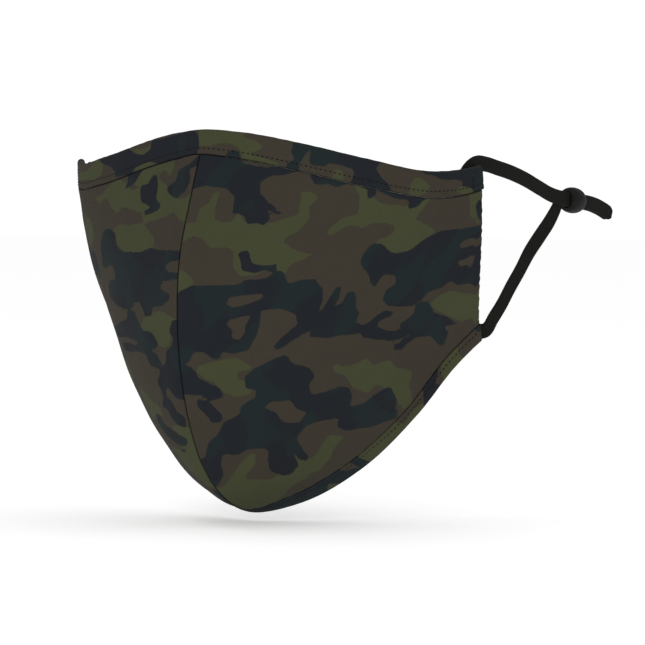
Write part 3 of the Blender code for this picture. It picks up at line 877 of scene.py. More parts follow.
def weave_group() -> bpy.types.NodeTree:
    """Plain weave: yarns that pass over and under each other.

    Returns:
        A group that takes a place in millimetres and the yarn's pitch, and gives the height of
        the cloth's face and a mask of the gaps between yarns.
    """
    maker = GroupMaker(
        "plain_weave",
        {"Place": ("NodeSocketVector", None), "Pitch": ("NodeSocketFloat", 0.4)},
        {"Height": "NodeSocketFloat", "Gaps": "NodeSocketFloat"},
    )
    x, y, _ = maker.apart(maker.into["Place"])
    across = maker.maths("DIVIDE", x, maker.into["Pitch"])
    up = maker.maths("DIVIDE", y, maker.into["Pitch"])
    cell = maker.maths("ADD", maker.maths("FLOOR", across), maker.maths("FLOOR", up))
    odd = maker.maths("ROUND", maker.maths("PINGPONG", cell, 1.0))
    warp = maker.maths("ABSOLUTE", maker.maths("SINE", maker.maths("MULTIPLY", across, math.pi)))
    weft = maker.maths("ABSOLUTE", maker.maths("SINE", maker.maths("MULTIPLY", up, math.pi)))
    warp_over = maker.maths("MULTIPLY", warp, odd)
    weft_over = maker.maths("MULTIPLY", weft, maker.maths("SUBTRACT", 1.0, odd))
    height = maker.maths("ADD", warp_over, weft_over)
    maker.link(height, maker.out["Height"])
    maker.link(maker.maths("SUBTRACT", 1.0, maker.maths("MULTIPLY", warp, weft)), maker.out["Gaps"])
    return maker.tree


def knit_group() -> bpy.types.NodeTree:
    """Flat knitted elastic: columns of small V-shaped loops.

    Returns:
        A group that takes a place in millimetres, the column's width and the loop's length, and
        gives the height of the face and a mask of the grooves.
    """
    maker = GroupMaker(
        "flat_knit",
        {
            "Place": ("NodeSocketVector", None),
            "Column": ("NodeSocketFloat", 0.8),
            "Loop": ("NodeSocketFloat", 0.7),
        },
        {"Height": "NodeSocketFloat", "Grooves": "NodeSocketFloat"},
    )
    x, y, _ = maker.apart(maker.into["Place"])
    column = maker.maths("DIVIDE", x, maker.into["Column"])
    slant = maker.maths("PINGPONG", column, 0.5)
    loops = maker.maths("ADD", maker.maths("DIVIDE", y, maker.into["Loop"]), slant)
    loop = maker.maths("ABSOLUTE", maker.maths("SINE", maker.maths("MULTIPLY", loops, math.pi)))
    rib = maker.maths("ABSOLUTE", maker.maths("SINE", maker.maths("MULTIPLY", column, math.pi)))
    height = maker.maths("MULTIPLY", maker.maths("SQRT", rib), maker.maths("SQRT", loop))
    maker.link(height, maker.out["Height"])
    maker.link(maker.maths("SUBTRACT", 1.0, height), maker.out["Grooves"])
    return maker.tree


def mottle_group() -> bpy.types.NodeTree:
    """Slow and fine differences of shade that dyed cloth and moulded rubber have.

    Returns:
        A group that takes a colour, a place in millimetres and two strengths, and gives the
        shaded colour and the noise that shaded it.
    """
    maker = GroupMaker(
        "mottle",
        {
            "Color": ("NodeSocketColor", (0.5, 0.5, 0.5, 1.0)),
            "Place": ("NodeSocketVector", None),
            "Slow": ("NodeSocketFloat", 0.1),
            "Fine": ("NodeSocketFloat", 0.1),
        },
        {"Color": "NodeSocketColor", "Value": "NodeSocketFloat"},
    )
    slow = maker.noise(maker.into["Place"], 0.09, 2.0)
    fine = maker.noise(maker.into["Place"], 2.6, 3.0)
    slow_shift = maker.maths("MULTIPLY", maker.maths("SUBTRACT", slow, 0.5), maker.into["Slow"])
    fine_shift = maker.maths("MULTIPLY", maker.maths("SUBTRACT", fine, 0.5), maker.into["Fine"])
    shift = maker.maths("ADD", slow_shift, fine_shift)
    light = maker.maths("ADD", 1.0, maker.maths("MULTIPLY", shift, 2.0))
    scale = maker.tree.nodes.new("ShaderNodeVectorMath")
    scale.operation = "SCALE"
    maker.link(maker.into["Color"], scale.inputs[0])
    maker.link(light, scale.inputs["Scale"])
    maker.link(scale.outputs[0], maker.out["Color"])
    maker.link(fine, maker.out["Value"])
    return maker.tree


def blot_group() -> bpy.types.NodeTree:
    """The clean but uneven edge of a printed blot.

    Returns:
        A group that takes the distance to a blot's outline and a place in millimetres, and gives
        1 inside the blot and 0 outside.
    """
    maker = GroupMaker(
        "blot_edge",
        {
            "Distance": ("NodeSocketFloat", 0.0),
            "Place": ("NodeSocketVector", None),
            "Wander": ("NodeSocketFloat", 0.9),
            "Softness": ("NodeSocketFloat", 0.16),
        },
        {"Mask": "NodeSocketFloat"},
    )
    drift = maker.noise(maker.into["Place"], 0.28, 1.5)
    wander = maker.maths("MULTIPLY", maker.maths("SUBTRACT", drift, 0.5), maker.into["Wander"])
    reach = maker.maths("ADD", maker.into["Distance"], wander)
    inside = maker.maths("DIVIDE", maker.maths("MULTIPLY", reach, -0.5), maker.into["Softness"])
    maker.link(maker.maths("ADD", inside, 0.5, clamp=True), maker.out["Mask"])
    return maker.tree


@dataclass(frozen=True)
class SharedEffects:
    """The node groups, made once."""

    weave: bpy.types.NodeTree
    knit: bpy.types.NodeTree
    mottle: bpy.types.NodeTree
    blot: bpy.types.NodeTree


# ---------------------------------------------------------------------------------------------
# Finishes
# ---------------------------------------------------------------------------------------------


Colour = tuple[float, float, float]


def opaque(colour: Colour) -> tuple[float, float, float, float]:
    """A colour with full alpha."""
    return (*colour, 1.0)


class MaterialMaker(GroupMaker):
    """Builds one material round its Principled shader."""

    def __init__(self, name: str, roughness: float, metallic: float = 0.0):
        """Starts the material.

        Args:
            name: the material's name.
            roughness: the shader's roughness.
            metallic: the shader's metallic value.
        """
        self.material = bpy.data.materials.new(name)
        self.material.use_nodes = True
        self.tree = self.material.node_tree
        self.shader = self.tree.nodes["Principled BSDF"].inputs
        self.shader["Roughness"].default_value = roughness
        self.shader["Metallic"].default_value = metallic

    def cloth_place(self) -> bpy.types.NodeSocket:
        """The place on the flat cloth, in millimetres."""
        uv = self.tree.nodes.new("ShaderNodeUVMap")
        uv.uv_map = CLOTH_UV
        scaled = self.tree.nodes.new("ShaderNodeVectorMath")
        scaled.operation = "SCALE"
        scaled.inputs["Scale"].default_value = CLOTH_UV_UNIT
        self.link(uv.outputs[0], scaled.inputs[0])
        return scaled.outputs[0]

    def solid_place(self) -> bpy.types.NodeSocket:
        """The place inside the object, in millimetres."""
        coordinates = self.tree.nodes.new("ShaderNodeTexCoord")
        scaled = self.tree.nodes.new("ShaderNodeVectorMath")
        scaled.operation = "SCALE"
        scaled.inputs["Scale"].default_value = 1.0 / MM
        self.link(coordinates.outputs["Object"], scaled.inputs[0])
        return scaled.outputs[0]

    def attribute(self, name: str) -> bpy.types.NodeSocket:
        """A number stored in the mesh."""
        node = self.tree.nodes.new("ShaderNodeAttribute")
        node.attribute_name = name
        return node.outputs["Fac"]

    def group(self, tree: bpy.types.NodeTree, **values: object) -> bpy.types.bpy_prop_collection:
        """The outputs of a shared group with these inputs."""
        node = self.tree.nodes.new("ShaderNodeGroup")
        node.node_tree = tree
        for title, value in values.items():
            if isinstance(value, bpy.types.NodeSocket):
                self.link(value, node.inputs[title])
            else:
                node.inputs[title].default_value = value
        return node.outputs

    def bump(self, height: bpy.types.NodeSocket, depth: float, strength: float) -> None:
        """Feeds a height, whose full range is this deep in millimetres, to the shader's normal."""
        node = self.tree.nodes.new("ShaderNodeBump")
        node.inputs["Distance"].default_value = depth * MM
        node.inputs["Strength"].default_value = strength
        self.link(height, node.inputs["Height"])
        self.link(node.outputs[0], self.shader["Normal"])

    def colour(self, socket: bpy.types.NodeSocket) -> None:
        """Feeds the shader's base colour."""
        self.link(socket, self.shader["Base Color"])


@dataclass(frozen=True)
class PrintedClothFinish:
    """Fine matt cloth printed with olive and blue-black blots on brown, with painted shade between its yarns
    and painted shadow along its seams.
    """

    name: str = "printed_cloth"
    brown: Colour = (0.0415, 0.0355, 0.0262)
    olive: Colour = (0.0490, 0.0545, 0.0262)
    dark: Colour = (0.0128, 0.0150, 0.0188)
    teal: Colour = (0.0128, 0.0192, 0.0212)
    worn: Colour = (0.075, 0.075, 0.060)
    roughness: float = 0.92
    specular: float = 0.08
    yarn_pitch: float = 0.42
    yarn_depth: float = 0.05

    def make(self, effects: SharedEffects) -> bpy.types.Material:
        """The material."""
        maker = MaterialMaker(self.name, self.roughness)
        maker.shader["Specular IOR Level"].default_value = self.specular
        place = maker.cloth_place()
        masks = {
            ink: maker.group(effects.blot, Distance=maker.attribute(ink.value), Place=place)["Mask"]
            for ink in Ink
        }
        patches = maker.maths("SUBTRACT", maker.noise(place, 0.055, 1.5), 0.5)
        teal_share = maker.maths("MULTIPLY", patches, 24.0, clamp=True)
        dark = maker.mix(teal_share, opaque(self.dark), opaque(self.teal))
        colour = maker.mix(masks[Ink.OLIVE], opaque(self.brown), opaque(self.olive))
        colour = maker.mix(masks[Ink.DARK], colour, dark)
        colour = maker.mix(masks[Ink.GROUND], colour, opaque(self.brown))
        rubbed = maker.maths("MULTIPLY", maker.attribute("crest"), maker.noise(place, 0.9, 3.0))
        colour = maker.mix(maker.maths("MULTIPLY", rubbed, 0.3), colour, opaque(self.worn))
        weave = maker.group(effects.weave, Place=place, Pitch=self.yarn_pitch)
        # Painted shade between the yarns: the weave's gaps darken the colour a little.
        gap = maker.maths("MULTIPLY", weave["Gaps"], 0.14)
        # Painted shadow along the seams: within about half a millimetre of a seam the colour goes up to nine
        # tenths of the way to near black, where the cloth turns in.
        turned = maker.maths("MULTIPLY", maker.attribute("crease"), 2.2)
        into = maker.maths("SUBTRACT", 1.0, turned, clamp=True)
        shade = maker.maths("MAXIMUM", gap, maker.maths("MULTIPLY", into, 0.9))
        # Painted shade: the stronger of the two shades above blends the colour towards near black.
        colour = maker.mix(shade, colour, (0.003, 0.003, 0.003, 1.0))
        shaded = maker.group(effects.mottle, Color=colour, Place=place, Slow=0.06, Fine=0.09)
        maker.colour(shaded["Color"])
        rough = maker.maths("ADD", maker.maths("MULTIPLY", shaded["Value"], 0.12), self.roughness - 0.06)
        maker.link(rough, maker.shader["Roughness"])
        maker.bump(weave["Height"], self.yarn_depth, 0.6)
        return maker.material


@dataclass(frozen=True)
class PlainClothFinish:
    """A cloth of one colour, woven or felted, with painted shade between its yarns."""

    name: str
    colour: Colour
    roughness: float
    yarn_pitch: float
    yarn_depth: float

    def make(self, effects: SharedEffects) -> bpy.types.Material:
        """The material."""
        maker = MaterialMaker(self.name, self.roughness)
        maker.shader["Specular IOR Level"].default_value = 0.1
        place = maker.cloth_place()
        weave = maker.group(effects.weave, Place=place, Pitch=self.yarn_pitch)
        # Painted shade between the yarns: the weave's gaps darken the colour towards about a third of
        # itself.
        gap = maker.maths("MULTIPLY", weave["Gaps"], 0.35)
        yarn_gap_shade = tuple(0.35 * share for share in self.colour)
        colour = maker.mix(gap, opaque(self.colour), opaque(yarn_gap_shade))
        shaded = maker.group(effects.mottle, Color=colour, Place=place, Slow=0.1, Fine=0.22)
        maker.colour(shaded["Color"])
        maker.bump(weave["Height"], self.yarn_depth, 0.8)
        return maker.material


@dataclass(frozen=True)
class ElasticFinish:
    """Flat knitted elastic, nearly black, with a faint speckle of bare rubber and painted shade in its
    grooves.
    """

    name: str = "knitted_elastic"
    colour: Colour = (0.0118, 0.0122, 0.0098)
    # Painted shade for the grooves of the knit.
    groove_shade: Colour = (0.0035, 0.0035, 0.0030)
    fleck: Colour = (0.035, 0.035, 0.031)
    roughness: float = 0.88
    column: float = 0.8
    loop: float = 0.75

    def make(self, effects: SharedEffects) -> bpy.types.Material:
        """The material."""
        maker = MaterialMaker(self.name, self.roughness)
        maker.shader["Specular IOR Level"].default_value = 0.08
        place = maker.cloth_place()
        knit = maker.group(effects.knit, Place=place, Column=self.column, Loop=self.loop)
        # Painted shade: the colour darkens where the knit is low, in its grooves.
        colour = maker.mix(knit["Grooves"], opaque(self.colour), opaque(self.groove_shade))
        speck = maker.noise(place, 3.1, 1.0)
        specks = maker.maths("MULTIPLY", maker.maths("SUBTRACT", speck, 0.62), 6.0, clamp=True)
        colour = maker.mix(maker.maths("MULTIPLY", specks, 0.5), colour, opaque(self.fleck))
        shaded = maker.group(effects.mottle, Color=colour, Place=place, Slow=0.12, Fine=0.2)
        maker.colour(shaded["Color"])
        maker.bump(knit["Height"], 0.08, 0.8)
        return maker.material


@dataclass(frozen=True)
class ThreadFinish:
    """Twisted polyester sewing thread."""

    name: str
    colour: Colour
    roughness: float = 0.6

    def make(self, effects: SharedEffects) -> bpy.types.Material:
        """The material."""
        maker = MaterialMaker(self.name, self.roughness)
        maker.shader["Specular IOR Level"].default_value = 0.12
        place = maker.solid_place()
        x, y, z = maker.apart(place)
        lay = maker.maths("ADD", maker.maths("ADD", x, y), maker.maths("MULTIPLY", z, 1.6))
        ply = maker.maths("ABSOLUTE", maker.maths("SINE", maker.maths("MULTIPLY", lay, 11.0)))
        shaded = maker.group(effects.mottle, Color=opaque(self.colour), Place=place, Slow=0.1, Fine=0.3)
        maker.colour(shaded["Color"])
        maker.bump(ply, 0.04, 0.8)
        return maker.material


@dataclass(frozen=True)
class SiliconeFinish:
    """Satin black silicone rubber with a little lint on it."""

    name: str = "bead_silicone"
    colour: Colour = (0.0042, 0.0042, 0.0041)
    lint: Colour = (0.030, 0.030, 0.028)
    roughness: float = 0.6

    def make(self, effects: SharedEffects) -> bpy.types.Material:
        """The material."""
        maker = MaterialMaker(self.name, self.roughness)
        maker.shader["Specular IOR Level"].default_value = 0.16
        place = maker.solid_place()
        speck = maker.noise(place, 1.7, 4.0)
        lint = maker.maths("MULTIPLY", maker.maths("SUBTRACT", speck, 0.66), 8.0, clamp=True)
        colour = maker.mix(maker.maths("MULTIPLY", lint, 0.4), opaque(self.colour), opaque(self.lint))
        shaded = maker.group(effects.mottle, Color=colour, Place=place, Slow=0.1, Fine=0.2)
        maker.colour(shaded["Color"])
        rough = maker.maths("ADD", maker.maths("MULTIPLY", shaded["Value"], 0.25), self.roughness - 0.12)
        maker.link(rough, maker.shader["Roughness"])
        maker.bump(maker.noise(place, 4.0, 3.0), 0.03, 0.5)
        return maker.material


@dataclass(frozen=True)
class WireFinish:
    """Rolled soft aluminium, drawn lengthwise."""

    name: str = "rolled_aluminium"
    colour: Colour = (0.76, 0.77, 0.78)
    roughness: float = 0.34

    def make(self, effects: SharedEffects) -> bpy.types.Material:
        """The material."""
        maker = MaterialMaker(self.name, self.roughness, 1.0)
        place = maker.cloth_place()
        x, y, _ = maker.apart(place)
        joined = maker.tree.nodes.new("ShaderNodeCombineXYZ")
        maker.link(maker.maths("MULTIPLY", x, 0.15), joined.inputs[0])
        maker.link(maker.maths("MULTIPLY", y, 6.0), joined.inputs[1])
        streak = maker.noise(joined.outputs[0], 1.0, 3.0)
        shaded = maker.group(effects.mottle, Color=opaque(self.colour), Place=place, Slow=0.05, Fine=0.05)
        maker.colour(shaded["Color"])
        maker.link(maker.maths("ADD", maker.maths("MULTIPLY", streak, 0.2), 0.25), maker.shader["Roughness"])
        maker.bump(streak, 0.02, 0.4)
        return maker.material


@dataclass(frozen=True)
class Finishes:
    """Every material of the mask."""

    printed: bpy.types.Material
    lining: bpy.types.Material
    interlining: bpy.types.Material
    elastic: bpy.types.Material
    thread: bpy.types.Material
    silicone: bpy.types.Material
    wire: bpy.types.Material

    @classmethod
    def make(cls) -> "Finishes":
        """Builds the shared effects and the materials."""
        effects = SharedEffects(weave_group(), knit_group(), mottle_group(), blot_group())
        return cls(
            printed=PrintedClothFinish().make(effects),
            lining=PlainClothFinish("lining_cotton", (0.026, 0.026, 0.0265), 0.9, 0.7, 0.2).make(effects),
            interlining=PlainClothFinish("filter_cloth", (0.60, 0.60, 0.57), 0.95, 0.3, 0.06).make(effects),
            elastic=ElasticFinish().make(effects),
            thread=ThreadFinish("black_thread", (0.0035, 0.0035, 0.0034)).make(effects),
            silicone=SiliconeFinish().make(effects),
            wire=WireFinish().make(effects),
        )


# ---------------------------------------------------------------------------------------------
# Cloth pieces
# ---------------------------------------------------------------------------------------------


@dataclass(frozen=True)
class FoldSizes:
    """How the outer cloth is folded at the edges."""

    radius: float = 1.425
    steps: int = 10
    hem_return: float = 6.5
    cloth: float = 0.5


@dataclass
class OuterPanel:
    """One half of the outer cloth, from the centre seam to the hem round the side edge."""

    side: Side
    pattern: Print
    folds: FoldSizes = FoldSizes()
    columns: int = 100
    rows: int = 104
    seam_half_gap: float = 0.08
    seam_radius: float = 0.75
    allowance_depth: float = 1.45
    seam_reach: float = 4.5
    gather_depth: float = 0.13
    gather_pitch: float = 5.2
    unevenness: float = 0.28
    scallop_depth: float = 0.2
    scallop_pitch: float = 4.4
    side_swell: float = 0.9
    turned_columns: int = 4
    near_seam: tuple[float, ...] = (0.001, 0.0022, 0.0037, 0.0055, 0.0078, 0.0105)

    def build(self, finishes: Finishes) -> bpy.types.Object:
        across = crowded_shares(self.columns, self.near_seam, both_ends=False)
        up = crowded_shares(self.rows, self.near_seam, both_ends=True)
        cut = CUTS[self.side]
        points = cut.panel(across, up)
        normals, _ = cut.facing(across, up)
        along = running_length(points, axis=0)
        height = points[..., 2].copy()
        from_bottom = running_length(points, axis=1)
        from_top = from_bottom[:, -1:] - from_bottom
        depth = self._relief(along, height, from_bottom, from_top)
        # Distance from the nearest seam, which the printed material uses for its painted shadow along the
        # seams.
        crease = np.minimum(along, np.minimum(from_top, from_bottom))
        points = points - depth[..., None] * normals
        points[0, :, 0] = self.seam_half_gap
        grid, along, height, crest = self._with_hem(points, normals, along, height, from_bottom)
        crease = np.concatenate([crease[:-4], np.repeat(crease[-1:], len(grid) - len(crease) + 4, 0)])
        for axis in (0, 1):
            grid, along, height, crest, crease = self._with_allowance(
                axis, grid, normals, (along, height, crest, crease)
            )
        name = f"outer_panel_cloth_{self.side.value}"
        mesh = grid_mesh(name, mirrored(grid, self.side), flip=self.side is Side.RIGHT)
        set_cloth_uv(mesh, along, running_length(grid, axis=1))
        set_attribute(mesh, "crest", crest)
        set_attribute(mesh, "crease", crease)
        self.pattern.mark(mesh, along, height)
        piece = new_object(name, mesh, finishes.printed)
        thicken(piece, self.folds.cloth)
        placed(piece, "root", "printed_cloth", f"outer_panel_{self.side.value}")
        row = StitchRow(pitch=2.6, length=1.9, radius=0.18)
        hem = grid[-2, 1:-1] - 0.05 * normals[-1]
        stitches = [mirrored(rings, self.side) for rings in row.along(hem, -normals[-1])]
        sewn = row.join(f"side_hem_stitching_{self.side.value}", stitches, finishes.thread)
        return self._declare(piece)

    def _relief(
        self, along: np.ndarray, height: np.ndarray, from_bottom: np.ndarray, from_top: np.ndarray
    ) -> np.ndarray:
        """Depth of the seams, the gathers beside them and the cloth's own unevenness."""
        seams = (along, from_top, from_bottom)
        depth = sum(rolled(distance, self.seam_radius) for distance in seams)
        top = np.exp(-from_top / self.seam_reach) * gathers(along, self.gather_pitch)
        bottom = np.exp(-from_bottom / self.seam_reach) * gathers(along + 3.0, self.gather_pitch)
        centre = np.exp(-along / self.seam_reach) * gathers(height, 1.6 * self.gather_pitch)
        calm = np.minimum(1.0, np.minimum(along, np.minimum(from_top, from_bottom)) / 12.0)
        ripple = self.gather_depth * (top + bottom + 0.6 * centre)
        return depth + ripple + calm * handmade(along * self.side.sign, height, self.unevenness)

    def _with_hem(
        self,
        points: np.ndarray,
        normals: np.ndarray,
        along: np.ndarray,
        height: np.ndarray,
        from_bottom: np.ndarray,
    ) -> tuple[np.ndarray, np.ndarray, np.ndarray, np.ndarray]:
        """Adds the columns that go round the side edge and back inside."""
        folds = self.folds
        turned = self.turned_columns
        outward = points[-1] - points[-3]
        outward = unit(outward - (outward * normals[-1]).sum(1, keepdims=True) * normals[-1])
        share = from_bottom[-1] / from_bottom[-1, -1]
        swell = self.side_swell * np.sin(math.pi * share**1.5) ** 2
        wave = (self.scallop_depth * gathers(from_bottom[-1], self.scallop_pitch) + swell)[:, None]
        centre = points[-1] - (folds.radius - wave) * outward - folds.radius * normals[-1]
        columns = [points[:-turned]]
        crest = [np.zeros(points[:-turned].shape[:2])]
        reach = [along[:-turned]]
        shares = np.linspace(0.0, 1.0, folds.steps + 1)
        lead = points[-turned] + 0.5 * (centre + folds.radius * normals[-1] - points[-turned])
        columns.append(lead[None])
        crest.append(np.zeros((1, len(lead))))
        reach.append(0.5 * (along[-turned] + along[-1])[None] - 0.5)
        for share in shares:
            turn = math.pi * share
            place = centre + folds.radius * (
                math.cos(turn) * normals[-1] + math.sin(turn) * outward
            )
            columns.append(place[None])
            crest.append(np.full((1, len(place)), math.sin(turn) ** 2))
            reach.append((along[-1] - folds.radius + math.pi * folds.radius * share)[None])
        for step in np.linspace(0.2, 1.0, 5):
            inside = columns[2 + folds.steps] - step * folds.hem_return * outward
            sag = 0.12 * step * gathers(from_bottom[-1], 9.0)[:, None] * normals[-1]
            columns.append(inside + sag)
            crest.append(np.zeros((1, len(place))))
            reach.append((along[-1] + 2.0 * folds.radius + step * folds.hem_return)[None])
        grid = np.concatenate(columns, axis=0)
        heights = np.concatenate([height[:-4], np.repeat(height[-1:], len(grid) - len(height) + 4, 0)])
        return grid, np.concatenate(reach, axis=0), heights, np.concatenate(crest, axis=0)

    def _with_allowance(
        self, axis: int, grid: np.ndarray, normals: np.ndarray, values: Sequence[np.ndarray]
    ) -> tuple[np.ndarray, ...]:
        """Adds the seam allowance that turns inwards.

        Args:
            axis: 0 for the centre seam, 1 for the seams along both bands.
            grid: the cloth's points.
            normals: the panel's outward directions.
            values: further numbers for each point, which the allowance repeats.

        Returns:
            The points and the numbers with the allowance added.
        """
        depth = self.allowance_depth - self.seam_radius
        if axis == 0:
            inner = grid[:1] - depth * normals[:1]
            inner[..., 0] = self.seam_half_gap
            grown = np.concatenate([inner, grid], axis=0)
            return (grown, *(np.concatenate([value[:1], value], axis=0) for value in values))
        extra = len(grid) - len(normals)
        facing = np.concatenate([normals[:1], normals, np.repeat(normals[-1:], extra - 1, 0)])
        ends = [grid[:, [k]] - depth * facing[:, [k]] for k in (0, -1)]
        grown = np.concatenate([ends[0], grid, ends[1]], axis=1)
        return (grown, *(np.concatenate([v[:, :1], v, v[:, -1:]], axis=1) for v in values))

    def _declare(
        self, piece: bpy.types.Object
    ) -> bpy.types.Object:
        return piece


@dataclass
class InnerPly:
    """One half of an inner ply: the filter cloth, or the lining that touches the face."""

    side: Side
    node: str
    slot: str
    depth: float
    cloth: float
    columns: int
    rows: int
    tuck: float = 4.2
    side_inset: float = 1.725
    seam_half_gap: float = 0.75
    unevenness: float = 0.12

    def build(self, material: bpy.types.Material) -> bpy.types.Object:
        across = np.linspace(0.0, 1.0, self.columns + 1)
        up = np.linspace(0.0, 1.0, self.rows + 1)
        cut = CUTS[self.side]
        points = cut.panel(across, up)
        normals, rim_normals = cut.facing(across, up)
        along = running_length(points, axis=0)
        ripple = np.abs(handmade(along, points[..., 2], self.unevenness))
        low_rim, high_rim = cut.rims(across)
        low = self._tucked(points[:, 0], low_rim, normals[:, 0], rim_normals[:, 0])
        high = self._tucked(points[:, -1], high_rim, normals[:, -1], rim_normals[:, 1])
        body = points - (self.depth + ripple)[..., None] * normals
        grid = np.concatenate([low[:, None], body, high[:, None]], axis=1)
        outward = unit(grid[-1] - grid[-2])
        for column, share in ((-1, 1.0), (-2, 0.35)):
            grid[column] -= share * self.side_inset * outward
        grid[0, :, 0] = self.seam_half_gap
        name = f"{self.node}_cloth_{self.side.value}"
        mesh = grid_mesh(name, mirrored(grid, self.side), flip=self.side is Side.RIGHT)
        set_cloth_uv(mesh, running_length(grid, axis=0), running_length(grid, axis=1))
        piece = new_object(name, mesh, material)
        thicken(piece, self.cloth)
        placed(piece, "root", self.slot, f"{self.node}_{self.side.value}")
        return piece

    def _tucked(
        self, line: np.ndarray, rim: np.ndarray, line_normal: np.ndarray, rim_normal: np.ndarray
    ) -> np.ndarray:
        """The row where the ply ends inside a folded band."""
        run = rim - line
        share = self.tuck / np.linalg.norm(run, axis=1, keepdims=True)
        facing = unit((1 - share) * line_normal + share * rim_normal)
        return line + share * run - self.depth * facing


@dataclass
class StitchRow:
    """A row of lock stitches: short arches of thread that dip into the cloth."""

    pitch: float = 1.75
    length: float = 1.1
    radius: float = 0.21
    proud: float = 0.07
    sides: int = 6
    stations: int = 6

    def rings(self, start: np.ndarray, end: np.ndarray, outward: np.ndarray) -> np.ndarray:
        """One stitch, as rings of points."""
        run = unit(end - start)
        aside = unit(np.cross(outward, run))
        shares = np.linspace(0.0, 1.0, self.stations)
        arch = np.sin(math.pi * shares)[:, None]
        lift = (self.proud + self.radius) * arch - self.radius
        centres = start + shares[:, None] * (end - start) + lift * outward
        turns = 2 * math.pi * np.arange(self.sides) / self.sides
        section = np.stack([np.cos(turns), np.sin(turns)], axis=1)
        size = self.radius * (0.45 + 0.55 * np.sqrt(arch))
        first = size * np.broadcast_to(aside, centres.shape)
        second = size * np.broadcast_to(outward, centres.shape)
        return tube_rings(centres, first, second, section)

    def along(self, line: np.ndarray, outward: np.ndarray) -> list[np.ndarray]:
        """The stitches along a dense line of points, with the cloth's outward directions."""
        length = running_length(line)
        made = []
        for begin in np.arange(0.3, length[-1] - self.length, self.pitch):
            ends = [_interp_rows(np.array([at]), length, line)[0] for at in (begin, begin + self.length)]
            facing = _interp_rows(np.array([begin + self.length / 2]), length, outward)[0]
            made.append(self.rings(ends[0], ends[1], unit(facing)))
        return made

    def join(self, name: str, stitches: list[np.ndarray], material: bpy.types.Material) -> bpy.types.Object:
        """All the stitches as one object on the mask's body."""
        size = self.sides * self.stations
        faces = []
        for number in range(len(stitches)):
            faces.extend(ring_faces(self.stations, self.sides, number * size))
        mesh = points_mesh(name, np.stack(stitches), faces)
        return placed(new_object(name, mesh, material), "root", "elastic")


